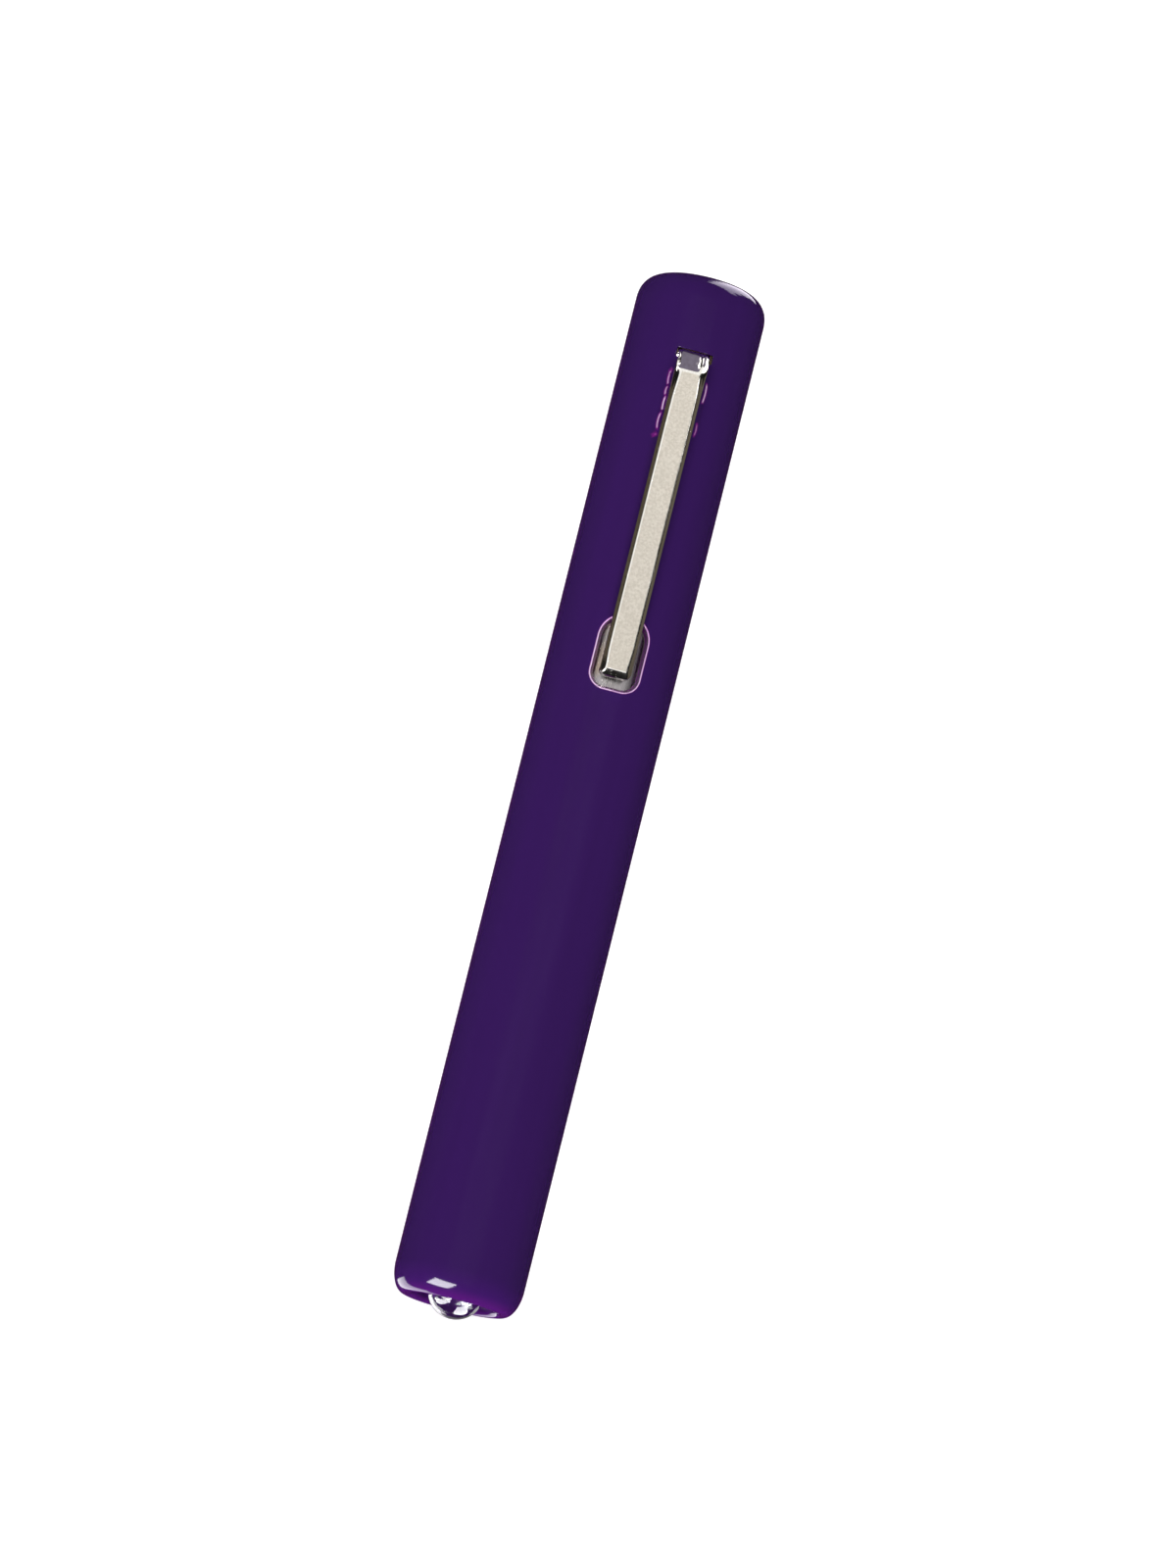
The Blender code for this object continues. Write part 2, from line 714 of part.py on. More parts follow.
def make_lamp_shell():
    """The lamp's metal base with the flange that the bushing holds."""
    glass_seat = GLASS_TUBE_RADIUS + FIT_GAP
    tail_bore = INSULATOR_RADIUS + FIT_GAP
    profile = [
        (SHELL_COLLAR_RADIUS, SHELL_FRONT),
        (SHELL_COLLAR_RADIUS, FLANGE_FRONT),
        (FLANGE_RADIUS, FLANGE_FRONT),
        (FLANGE_RADIUS, FLANGE_BACK),
        (SHELL_TAIL_RADIUS, FLANGE_BACK),
        (SHELL_TAIL_RADIUS, SHELL_BACK),
        (tail_bore, SHELL_BACK),
        (tail_bore, GLASS_BACK - FIT_GAP),
        (glass_seat, GLASS_BACK - FIT_GAP),
        (glass_seat, SHELL_FRONT),
    ]
    return turned("lamp_shell", profile, BRASS, LAMP_SIDES)


def make_lamp_insulator():
    """The fibre ring between the lamp's shell and its solder contact."""
    hole = SOLDER_STEM + FIT_GAP
    profile = [
        (INSULATOR_RADIUS, INSULATOR_FRONT),
        (INSULATOR_RADIUS, INSULATOR_BACK),
        (hole, INSULATOR_BACK),
        (hole, INSULATOR_FRONT),
    ]
    return turned("lamp_insulator", profile, FIBRE, LAMP_SIDES)


def make_lamp_contact():
    """The rounded solder contact on the lamp's tail."""
    face = INSULATOR_BACK - FIT_GAP
    bulge = quarter_ellipse(0, SOLDER_RADIUS, face - LAMP_BACK, SOLDER_STEPS)
    profile = [(0, INSULATOR_FRONT), (SOLDER_STEM, INSULATOR_FRONT), (SOLDER_STEM, face)]
    profile += [(x, face - z) for x, z in bulge]
    return turned("lamp_contact", profile, SOLDER, LAMP_SIDES, closed=False)


def make_lamp_bead():
    """The glass bead that holds the two lead wires apart."""
    mesh = bpy.data.meshes.new("lamp_bead")
    build = bmesh.new()
    bmesh.ops.create_uvsphere(build, u_segments=BEAD_SIDES, v_segments=BEAD_RINGS, radius=1.0)
    size = Vector((BEAD_RADIUS, BEAD_RADIUS, BEAD_HALF_LENGTH)) * MM
    bmesh.ops.scale(build, vec=size, verts=build.verts)
    bmesh.ops.translate(build, vec=(0, 0, BEAD_STATION * MM), verts=build.verts)
    build.to_mesh(mesh)
    build.free()
    bead = add_object("lamp_bead", mesh, GLASS)
    for side, label in ((-1, "left"), (1, "right")):
        mesh = bpy.data.meshes.new(f"lead_hole_{label}")
        build = bmesh.new()
        hole_radius = (LEAD_RADIUS + FIT_GAP) * MM
        bmesh.ops.create_cone(
            build,
            cap_ends=True,
            segments=LEAD_HOLE_SIDES,
            radius1=hole_radius,
            radius2=hole_radius,
            depth=LEAD_HOLE_LENGTH * MM,
        )
        centre = Vector((side * LEAD_SPREAD, 0, BEAD_STATION)) * MM
        bmesh.ops.translate(build, vec=centre, verts=build.verts)
        build.to_mesh(mesh)
        build.free()
        boolean(bead, add_cutter(f"lead_hole_{label}", mesh), "DIFFERENCE")
    return shade(bead)


def make_leads():
    """The lead wires: straight through the bead, then spread to the filament's ends."""
    for side, label in ((-1, "left"), (1, "right")):
        points = [
            (side * LEAD_SPREAD, 0, LEAD_BACK),
            (side * LEAD_SPREAD, 0, BEAD_STATION),
            (side * LEAD_SPREAD, 0, LEAD_BEND),
            (side * LEAD_TIP_SPREAD, 0, LEAD_TOP),
        ]
        wire(f"lead_{label}", points, LEAD_RADIUS, STEEL)


def make_filament():
    """The coiled filament between the tips of the leads."""
    count = FILAMENT_TURNS * FILAMENT_POINTS_PER_TURN
    points = []
    for step in range(count + 1):
        angle = 2 * math.pi * FILAMENT_TURNS * step / count
        across = FILAMENT_REACH * (2 * step / count - 1)
        up = FILAMENT_RADIUS * math.cos(angle)
        along = FILAMENT_STATION + FILAMENT_RADIUS * math.sin(angle)
        points.append((across, up, along))
    return wire("filament", points, FILAMENT_WIRE, TUNGSTEN)


def make_bushing():
    """The plug in the mouth, dished round the lens and counterbored for the lamp's shell."""
    outer = BORE_RADIUS - FIT_GAP
    profile = [
        (BUSHING_BORE, BUSHING_DISH_STATION),
        (BUSHING_DISH_RADIUS, BUSHING_DISH_STATION),
        (BUSHING_NOSE_RADIUS - BUSHING_RIM, BUSHING_RIM_STATION),
        (BUSHING_NOSE_RADIUS, BUSHING_NOSE_STATION),
        (BUSHING_NOSE_RADIUS, BUSHING_SHOULDER),
        (outer, BUSHING_SHOULDER),
        (outer, BUSHING_BACK),
        (SHELL_COLLAR_RADIUS + FIT_GAP, BUSHING_BACK),
        (SHELL_COLLAR_RADIUS + FIT_GAP, BUSHING_COUNTERBORE_END),
        (BUSHING_BORE, BUSHING_COUNTERBORE_END),
    ]
    return turned("lamp_bushing", profile, BUSHING_PLASTIC)


make_casing()
make_clip_anchor()
make_clip_arm()
make_liner()
make_contact_strip()
make_end_contact()
make_battery_spring()
make_cell(1, FIRST_CELL_STATION)
make_cell(2, FIRST_CELL_STATION + CELL_LENGTH + CONTACT_GAP)
make_lamp_globe()
make_lamp_shell()
make_lamp_insulator()
make_lamp_contact()
make_lamp_bead()
make_leads()
make_filament()
make_bushing()
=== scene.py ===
import json
import math

import bmesh
import bpy
import numpy as np
from mathutils import Matrix, Vector
from mathutils.geometry import delaunay_2d_cdt

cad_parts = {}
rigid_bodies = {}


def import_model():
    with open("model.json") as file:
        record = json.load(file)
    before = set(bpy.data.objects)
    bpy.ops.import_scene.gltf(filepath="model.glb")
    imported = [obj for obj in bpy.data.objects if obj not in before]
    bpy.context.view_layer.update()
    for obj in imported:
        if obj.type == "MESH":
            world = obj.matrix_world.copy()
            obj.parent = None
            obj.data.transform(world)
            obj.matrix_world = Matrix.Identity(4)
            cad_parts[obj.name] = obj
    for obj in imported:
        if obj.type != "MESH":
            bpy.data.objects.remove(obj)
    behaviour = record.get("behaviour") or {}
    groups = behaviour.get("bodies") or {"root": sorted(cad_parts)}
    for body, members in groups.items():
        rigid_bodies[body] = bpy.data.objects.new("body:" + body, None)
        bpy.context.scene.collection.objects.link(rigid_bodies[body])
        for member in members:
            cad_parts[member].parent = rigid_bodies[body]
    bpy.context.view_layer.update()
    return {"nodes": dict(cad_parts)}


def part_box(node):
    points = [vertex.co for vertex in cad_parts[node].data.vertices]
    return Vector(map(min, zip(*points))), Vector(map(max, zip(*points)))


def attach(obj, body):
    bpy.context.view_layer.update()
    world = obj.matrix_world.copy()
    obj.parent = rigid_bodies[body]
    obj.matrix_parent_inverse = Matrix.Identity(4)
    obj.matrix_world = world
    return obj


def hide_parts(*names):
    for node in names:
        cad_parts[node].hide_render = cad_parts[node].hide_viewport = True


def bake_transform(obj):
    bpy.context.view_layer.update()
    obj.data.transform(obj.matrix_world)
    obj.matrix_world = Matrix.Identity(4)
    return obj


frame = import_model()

# All drawing sizes are in millimetres in the barrel's own frame: x across, v up from the barrel's axis,
# s along the barrel from its closed end. at() turns them into the row frame.
MM = 0.001
CASING_LOW, CASING_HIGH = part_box("casing")
GLOBE_LOW, GLOBE_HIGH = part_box("lamp_globe")
END_Y = CASING_HIGH.y
AXIS_Z = (GLOBE_LOW.z + GLOBE_HIGH.z) / 2

# The casing: radii, lengths along the barrel and the shape of both ends. CREST is the radius of the mouth's
# foremost circle, MOUTH that of its opening.
RADIUS, BORE, CREST, MOUTH = 6.75, 5.75, 5.2, 4.6
LENGTH = (CASING_HIGH.y - CASING_LOW.y) / MM
OVERALL = (CASING_HIGH.y - GLOBE_LOW.y) / MM
AXIS_HEIGHT = AXIS_Z / MM
DOME_HEIGHT, DOME_EXPONENTS, END_WALL = 3.55, (3.54, 2.52), 1.1
SHOULDER, MOUTH_ROUND, BORE_END = 3.1, 0.7, 107.2
DOME_STEPS, SHOULDER_STEPS, LIP_STEPS, BORE_DOME_STEPS = 44, 24, 10, 16
COLUMNS = 192
TINY = 1e-6


def at(x, v, s):
    """A drawing point in the row frame, in metres."""
    return (x * MM, END_Y - s * MM, AXIS_Z + v * MM)


def new_object(name, mesh, body=None):
    obj = bpy.data.objects.new(name, mesh)
    bpy.context.scene.collection.objects.link(obj)
    if body:
        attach(obj, body)
    return obj


def make_mesh(name, points, faces, materials=(), face_materials=None, normals=None, sharp=0.6):
    """A mesh from drawing points (x, v, s). normals holds a normal, or None, for each point."""
    mesh = bpy.data.meshes.new(name)
    mesh.from_pydata([at(*p) for p in points], [], [tuple(f) for f in faces])
    mesh.validate()
    for material in materials:
        mesh.materials.append(material)
    if face_materials is not None:
        mesh.polygons.foreach_set("material_index", list(face_materials))
    build = bmesh.new()
    build.from_mesh(mesh)
    bmesh.ops.recalc_face_normals(build, faces=build.faces)
    build.normal_update()
    build.verts.ensure_lookup_table()
    known = normals or [None] * len(points)
    for edge in build.edges:
        free = known[edge.verts[0].index] is None or known[edge.verts[1].index] is None
        if free and len(edge.link_faces) == 2 and edge.calc_face_angle(0.0) > sharp:
            edge.smooth = False
    for face in build.faces:
        face.smooth = True
    build.to_mesh(mesh)
    build.free()
    if normals:
        custom = []
        for normal in normals:
            if normal is None:
                custom.append((0.0, 0.0, 0.0))
            else:
                x, v, s = normal
                custom.append((x, -s, v))
        mesh.normals_split_custom_set_from_vertices(custom)
    mesh.update()
    return mesh


def superellipse(centre, radial, axial, steps, exponents=(2, 2)):
    """A quarter of a superellipse as (radius, rise), from (centre + radial, 0) to (centre, axial)."""
    points = []
    for step in range(steps + 1):
        turn = math.pi / 2 * step / steps
        across = max(math.cos(turn), 0.0) ** (2 / exponents[0])
        along = math.sin(turn) ** (2 / exponents[1])
        points.append((centre + radial * across, axial * along))
    return points


# ---- materials ----

# Where the mix node keeps its colour sockets.
COLOUR_A, COLOUR_B, COLOUR_OUT = 6, 7, 2


class Nodes:
    """Short calls for building a material's node tree."""

    def __init__(self, name):
        self.material = bpy.data.materials.new(name)
        self.material.use_nodes = True
        self.tree = self.material.node_tree
        self.shader = self.tree.nodes["Principled BSDF"]
        self.place = self.tree.nodes.new("ShaderNodeTexCoord").outputs["Object"]

    def link(self, source, target):
        self.tree.links.new(source, target)
        return target

    def set(self, **values):
        for name, value in values.items():
            self.shader.inputs[name.replace("_", " ")].default_value = value
        return self

    def mapping(self, scale):
        node = self.tree.nodes.new("ShaderNodeMapping")
        node.inputs["Scale"].default_value = scale
        self.link(self.place, node.inputs["Vector"])
        return node.outputs["Vector"]

    def noise(self, scale, detail=4.0, roughness=0.55, stretch=(1, 1, 1), distortion=0.0):
        node = self.tree.nodes.new("ShaderNodeTexNoise")
        node.inputs["Scale"].default_value = scale
        node.inputs["Detail"].default_value = detail
        node.inputs["Roughness"].default_value = roughness
        node.inputs["Distortion"].default_value = distortion
        self.link(self.mapping(stretch), node.inputs["Vector"])
        return node.outputs["Fac"]

    def cells(self, scale):
        """Distance to the nearest of a set of scattered points."""
        node = self.tree.nodes.new("ShaderNodeTexVoronoi")
        node.inputs["Scale"].default_value = scale
        self.link(self.place, node.inputs["Vector"])
        return node.outputs["Distance"]

    def attribute(self, name):
        node = self.tree.nodes.new("ShaderNodeAttribute")
        node.attribute_name = name
        return node.outputs["Fac"]

    def spread(self, source, low, high, start=0.3, end=0.7):
        """Maps source from start..end to low..high."""
        node = self.tree.nodes.new("ShaderNodeMapRange")
        node.inputs["From Min"].default_value = start
        node.inputs["From Max"].default_value = end
        node.inputs["To Min"].default_value = low
        node.inputs["To Max"].default_value = high
        self.link(source, node.inputs["Value"])
        return node.outputs["Result"]

    def mix(self, factor, first, second):
        """Mixes two colours, each a tuple or an output, by an output."""
        node = self.tree.nodes.new("ShaderNodeMix")
        node.data_type = "RGBA"
        self.link(factor, node.inputs["Factor"])
        for value, target in ((first, node.inputs[COLOUR_A]), (second, node.inputs[COLOUR_B])):
            if isinstance(value, tuple):
                target.default_value = (*value, 1)
            else:
                self.link(value, target)
        return node.outputs[COLOUR_OUT]

    def colour(self, source):
        self.link(source, self.shader.inputs["Base Color"])
        return self

    def roughness(self, source):
        self.link(source, self.shader.inputs["Roughness"])
        return self

    def bump(self, source, height):
        """height is in millimetres. Calls chain, so fine grain can lie on coarse waves."""
        node = self.tree.nodes.new("ShaderNodeBump")
        node.inputs["Strength"].default_value = 1.0
        node.inputs["Distance"].default_value = height * MM
        self.link(source, node.inputs["Height"])
        normal = self.shader.inputs["Normal"]
        if normal.is_linked:
            self.link(normal.links[0].from_socket, node.inputs["Normal"])
        self.link(node.outputs["Normal"], normal)
        return self


def vinyl(name, deep, light, rough, thin=None):
    """Glossy dip-moulded vinyl: faint lengthwise streaks, orange peel, painted glow and highlights."""
    n = Nodes(name)
    n.set(IOR=1.46, Specular_IOR_Level=0.45, Roughness=rough)
    n.set(Sheen_Weight=0.05, Sheen_Roughness=0.22, Sheen_Tint=(1.0, 0.08, 0.7, 1))
    streaks = n.noise(160, detail=3, stretch=(1, 0.035, 1))
    clouds = n.noise(95, detail=2, stretch=(1, 0.25, 1))
    body = n.mix(n.spread(streaks, 0, 0.9, 0.38, 0.62), deep, light)
    body = n.mix(n.spread(clouds, 0, 0.4), body, light)
    # Painted light: a point attribute mixes in a magenta glow, then a pale lavender highlight, over the colour.
    if thin:
        skin = n.attribute("thin")
        body = n.mix(n.spread(skin, 0, 1, 0.0, 0.35), body, PAINTED_GLOW)
        body = n.mix(n.spread(skin, 0, 1, 0.35, 1.0), body, thin)
    n.colour(body)
    scuffs = n.noise(900, detail=5, roughness=0.7, stretch=(1, 0.2, 1))
    n.roughness(n.spread(scuffs, rough * 0.8, rough * 1.35))
    n.bump(n.noise(420, detail=2), 0.006)
    n.bump(n.noise(3500, detail=2), 0.0006)
    return n.material


def nickel_satin(name):
    """Bead-blasted nickel plate: fine warm mottling and grain."""
    n = Nodes(name)
    n.set(Metallic=1.0)
    grain = n.noise(3800, detail=3, roughness=0.65)
    clouds = n.noise(700, detail=4)
    body = n.mix(n.spread(grain, 0, 1, 0.38, 0.62), (0.47, 0.43, 0.365), (0.60, 0.56, 0.495))
    body = n.mix(n.spread(clouds, 0, 0.35), body, (0.49, 0.45, 0.385))
    n.colour(body)
    n.roughness(n.spread(grain, 0.36, 0.46))
    n.bump(grain, 0.004)
    n.bump(n.cells(3800), 0.002)
    return n.material


def nickel_bright(name):
    """Bright nickel on the bend and the turned-down sides, with drawing marks."""
    n = Nodes(name)
    n.set(Metallic=1.0)
    marks = n.noise(2600, detail=4, stretch=(1, 0.08, 1))
    body = n.mix(n.spread(marks, 0, 1), (0.74, 0.71, 0.65), (0.86, 0.84, 0.80))
    n.colour(body)
    n.roughness(n.spread(marks, 0.08, 0.2))
    n.bump(marks, 0.002)
    n.bump(n.noise(800, detail=2), 0.01)
    return n.material


def worn_metal(name, dark, light, rough, stretch, scratch, stain=None):
    """Plain sheet or drawn wire with scratches along it, blotches and a dull film."""
    n = Nodes(name)
    n.set(Metallic=1.0)
    lines = n.noise(2400, detail=5, roughness=0.7, stretch=stretch)
    blotch = n.noise(420, detail=4, distortion=0.6)
    body = n.mix(n.spread(lines, 0, 1), dark, light)
    body = n.mix(n.spread(blotch, 0, 0.6), body, dark)
    if stain:
        body = n.mix(n.spread(n.noise(230, detail=3), 0, 0.7, 0.5, 0.72), body, stain)
    n.colour(body)
    n.roughness(n.spread(lines, rough * 0.7, rough * 1.4))
    n.bump(lines, 0.004 * scratch)
    n.bump(blotch, 0.012)
    return n.material


def grainy(name, dark, light, rough, scale, depth, stretch=(1, 1, 1)):
    """Matt pressed, fibrous or printed surfaces."""
    n = Nodes(name)
    fibres = n.noise(scale, detail=6, roughness=0.7, stretch=stretch)
    clouds = n.noise(scale * 0.12, detail=3)
    body = n.mix(n.spread(fibres, 0, 1), dark, light)
    body = n.mix(n.spread(clouds, 0, 0.5), body, dark)
    n.colour(body)
    n.roughness(n.spread(fibres, rough * 0.85, min(rough * 1.1, 1.0)))
    n.bump(fibres, depth)
    return n.material


def glass(name, tint=(0.97, 0.985, 0.99)):
    """Clear moulded glass with faint waves and specks of dust."""
    n = Nodes(name)
    n.set(IOR=1.5, Transmission_Weight=1.0)
    dust = n.cells(900)
    n.colour(n.mix(n.spread(dust, 0.25, 0, 0.02, 0.09), tint, (0.80, 0.82, 0.84)))
    n.roughness(n.spread(n.noise(600, detail=4), 0.0, 0.012, 0.4, 0.8))
    n.bump(n.noise(350, detail=1), 0.0015)
    return n.material


VIOLET = (0.0335, 0.0095, 0.088)
VIOLET_LIGHT = (0.0385, 0.0108, 0.104)
# Painted light: a magenta glow and a pale lavender highlight for the vinyl's edges.
PAINTED_GLOW = (0.23, 0.017, 0.235)
PAINTED_HIGHLIGHT = (0.90, 0.72, 0.97)
VINYL = vinyl("casing_vinyl", VIOLET, VIOLET_LIGHT, 0.085, PAINTED_HIGHLIGHT)
PLASTIC = vinyl("bushing_plastic", (0.05, 0.012, 0.115), (0.075, 0.016, 0.15), 0.07)
SATIN = nickel_satin("clip_satin")
BRIGHT = nickel_bright("clip_bright")
TARNISH, BRASS_TARNISH = (0.60, 0.48, 0.34), (0.42, 0.25, 0.10)
TINPLATE = worn_metal("tinplate", (0.26, 0.25, 0.25), (0.60, 0.59, 0.58), 0.26, (1, 0.05, 1), 1.2, TARNISH)
BRASS = worn_metal("brass", (0.55, 0.36, 0.13), (0.80, 0.60, 0.28), 0.28, (1, 0.15, 1), 0.5, BRASS_TARNISH)
STEEL = worn_metal("spring_steel", (0.34, 0.34, 0.35), (0.62, 0.62, 0.62), 0.25, (1, 1, 1), 0.4)
ZINC = worn_metal("zinc", (0.40, 0.42, 0.45), (0.63, 0.65, 0.68), 0.42, (1, 0.05, 1), 0.6)
SOLDER = worn_metal("solder", (0.42, 0.42, 0.44), (0.68, 0.68, 0.70), 0.36, (1, 1, 1), 1.2)
TUNGSTEN = worn_metal("tungsten", (0.12, 0.12, 0.13), (0.30, 0.30, 0.32), 0.45, (1, 1, 1), 0.4)
GLASS = glass("lamp_glass")
BEAD_GLASS = glass("bead_glass", (0.86, 0.95, 0.92))
CARD = grainy("kraft_card", (0.30, 0.20, 0.11), (0.52, 0.39, 0.25), 0.85, 1600, 0.02, (1, 0.3, 1))
FIBRE = grainy("black_fibre", (0.010, 0.010, 0.010), (0.045, 0.042, 0.038), 0.75, 2600, 0.012)
JACKET = grainy("cell_jacket", (0.030, 0.085, 0.070), (0.060, 0.150, 0.125), 0.32, 900, 0.003, (1, 0.2, 1))
BLACK_MIX = grainy("black_mix", (0.006, 0.006, 0.006), (0.030, 0.030, 0.031), 0.9, 3000, 0.05)
CARBON = grainy("carbon", (0.016, 0.016, 0.017), (0.060, 0.060, 0.062), 0.55, 1800, 0.01, (1, 0.1, 1))

KEPT = {
    "lamp_shell": BRASS, "lamp_insulator": FIBRE, "lamp_contact": SOLDER, "lamp_bead": BEAD_GLASS,
    "lead_left": STEEL, "lead_right": STEEL, "filament": TUNGSTEN, "end_contact": BRASS,
    "battery_spring": STEEL, "liner": CARD,
}
for cell in ("cell_1", "cell_2"):
    KEPT.update({
        f"{cell}_can": ZINC, f"{cell}_mix": BLACK_MIX, f"{cell}_carbon_rod": CARBON, f"{cell}_jacket": JACKET,
        f"{cell}_flat_cap": TINPLATE, f"{cell}_button_cap": TINPLATE, f"{cell}_seal": FIBRE,
    })
REPLACED = {
    "casing": VINYL, "lamp_bushing": PLASTIC, "lamp_globe": GLASS, "contact_strip": TINPLATE,
    "clip_arm": BRIGHT, "clip_anchor": BRIGHT,
}
for name, material in {**KEPT, **REPLACED}.items():
    node = frame["nodes"][name]
    node.data.materials.clear()
    node.data.materials.append(material)

# ---- the casing ----

# The window: its opening, the radii of its corners (clip end, lens end) and its rounded, drafted edge.
WINDOW_START, WINDOW_END, WINDOW_HALF = 37.05, 44.78, 2.5
WINDOW_ARCH, WINDOW_FOOT = 2.4, 1.65
RIM, WALL_DRAFT = 0.24, 0.3
RIM_STEPS, WALL_STEPS = 8, 4
# How finely each outline is divided: steps in a corner, points along its length.
WINDOW_FINENESS, SLOT_FINENESS, PAD_FINENESS = (14, 24), (3, 3), (9, 34)
# The slot that the clip comes out of.
SLOT_START, SLOT_END, SLOT_HALF = 8.6, 9.55, 1.88
SLOT_CORNER, SLOT_RIM = 0.1, 0.12
# The raised pad over the clip's inner leg, and the pocket for the leg under it.
PAD_START, PAD_END, PAD_HALF = 10.9, 18.2, 1.95
PAD_CORNER, PAD_RISE, PAD_SLOPE = 1.2, 0.3, 0.24
PAD_RINGS = (-0.34, -0.24, -0.15, -0.07, 0.0, 0.07, 0.15, 0.24, 0.34)
POCKET_START, POCKET_END, POCKET_HALF, POCKET_CEILING = 8.5, 17.9, 1.98, 6.2
POCKET_DRAFT = 0.02
# Painted highlights in dashes along the pad's sides: start and end along the barrel, distance from the middle,
# bow outward, amount. Then a dash's half width and the share that fades at each end.
DASH_HALF_WIDTH, DASH_FADE = 0.09, 0.12
PAD_DASHES_LEFT = (
    (10.97, 12.75, 2.0, 0.12, 0.78), (12.85, 13.85, 1.98, 0.1, 0.8), (13.9, 15.5, 1.93, 0.06, 1.0),
    (15.6, 17.5, 2.0, 0.1, 0.85), (17.7, 18.3, 1.95, -0.1, 0.5),
)
PAD_DASHES_RIGHT = ((11.5, 13.8, 1.95, 0.12, 0.9), (15.8, 17.3, 1.93, 0.1, 0.6))
# Painted highlight on a hole's edge: palest step and spread, right side's and wall's share; painted lip glow.
RIM_PAINT_STEP, RIM_PAINT_SPREAD, RIM_PAINT_RIGHT, WALL_PAINT_SHARE, LIP_GLOW_AMOUNT = 2.6, 2.0, 0.86, 0.15, 0.035
# The patch of wall that is triangulated round the holes: its ends, its columns on each side of the middle, and
# the spacing of its points with their least distance from an outline, outside and in the bore.
PATCH_START, PATCH_END, PATCH_COLUMNS = 7.0, 48.0, 24
OUTER_SPACING, BORE_SPACING = (0.46, 0.16), (0.9, 0.3)
WINDOW_RING = 0.18
STEP_ANGLE = 2 * math.pi / COLUMNS


def rounded_box(half, start, end, back_radius, front_radius, steps, straight):
    """A closed outline in (x, s), anticlockwise, with a radius for each end.

    steps divide a corner, straight is how many points would go along the box's length.
    """
    outline = []
    corners = (
        (half - front_radius, end - front_radius, front_radius, 0),
        (-half + front_radius, end - front_radius, front_radius, 1),
        (-half + back_radius, start + back_radius, back_radius, 2),
        (half - back_radius, start + back_radius, back_radius, 3),
    )
    for x, s, radius, quarter in corners:
        for step in range(steps + 1):
            turn = (quarter + step / steps) * math.pi / 2
            outline.append((x + radius * math.cos(turn), s + radius * math.sin(turn)))
    dense = []
    for index, first in enumerate(outline):
        second = outline[(index + 1) % len(outline)]
        gap = math.dist(first, second)
        if gap < TINY:
            continue
        pieces = max(1, round(gap / ((end - start) / straight)))
        for piece in range(pieces):
            share = piece / pieces
            dense.append((first[0] + (second[0] - first[0]) * share, first[1] + (second[1] - first[1]) * share))
    return dense


def outward(outline):
    """Unit outward directions of a closed outline that runs anticlockwise in (x, s)."""
    count = len(outline)
    result = []
    for index in range(count):
        before, after = outline[index - 1], outline[(index + 1) % count]
        dx, ds = after[0] - before[0], after[1] - before[1]
        length = math.hypot(dx, ds) or 1.0
        result.append((ds / length, -dx / length))
    return result


def offset(outline, distance):
    """The outline moved outward by a distance."""
    return [(p[0] + d[0] * distance, p[1] + d[1] * distance) for p, d in zip(outline, outward(outline))]


def inside(outline, x, s):
    """Whether a point lies in a closed outline."""
    found = False
    previous = outline[-1]
    for point in outline:
        if (point[1] > s) != (previous[1] > s):
            cross = (previous[0] - point[0]) * (s - point[1]) / (previous[1] - point[1]) + point[0]
            found ^= x < cross
        previous = point
    return found


def box_distance(x, s, half, start, end, corner):
    """Signed distance to a rounded box, negative inside."""
    dx = abs(x) - half + corner
    ds = abs(s - (start + end) / 2) - (end - start) / 2 + corner
    outer = math.hypot(max(dx, 0), max(ds, 0))
    return outer + min(max(dx, ds), 0) - corner


def pad_rise(x, s):
    """The raised pad over the clip's inner leg, with the uneven sides of soft vinyl."""
    wander = 0.05 * math.sin(3.3 * s + 0.6) + 0.03 * math.sin(7.9 * s + (1.1 if x > 0 else 3.0))
    gap = box_distance(x, s, PAD_HALF + wander, PAD_START, PAD_END, PAD_CORNER)
    share = min(max(0.5 - gap / (2 * PAD_SLOPE), 0), 1)
    return PAD_RISE * share * share * (3 - 2 * share)


def pad_thinning(x, s):
    """Painted highlight in dashes along the pad's sides: short bowed dashes, more on the left."""
    side_dashes = PAD_DASHES_LEFT if x < 0 else PAD_DASHES_RIGHT
    for start, end, centre, bow, amount in side_dashes:
        if start < s < end:
            share = (s - start) / (end - start)
            line = centre + bow * (4 * share * (1 - share) - 0.5)
            fade = min(share, 1 - share, DASH_FADE) / DASH_FADE
            return amount * fade * math.exp(-(((abs(x) - line) / DASH_HALF_WIDTH) ** 2))
    return 0.0


def lip_thinning(s):
    """A faint painted magenta glow where the vinyl rolls over into the mouth."""
    return LIP_GLOW_AMOUNT * smooth(s, 108.0, 109.0)


def smooth(value, start, end):
    """0 up to start, 1 from end, and an S curve between."""
    share = min(max((value - start) / (end - start), 0), 1)
    return share * share * (3 - 2 * share)


def top_height(x, s):
    """The height of the casing's outside over the clip's side of the barrel."""
    return math.sqrt(RADIUS ** 2 - x ** 2) + pad_rise(x, s)


def top_normal(x, s):
    """The outside's normal in (x, v, s), by differences."""
    step = 0.01
    dx = (top_height(x + step, s) - top_height(x - step, s)) / (2 * step)
    ds = (top_height(x, s + step) - top_height(x, s - step)) / (2 * step)
    length = math.sqrt(dx * dx + ds * ds + 1)
    return (-dx / length, 1 / length, -ds / length)


def bore_height(x, s):
    """The height of the bore's wall, or of the ceiling of the pocket for the clip's inner leg."""
    edge = POCKET_DRAFT / 2
    deep = abs(x) < POCKET_HALF - edge and POCKET_START + edge < s < POCKET_END - edge
    return POCKET_CEILING if deep else math.sqrt(BORE ** 2 - x ** 2)


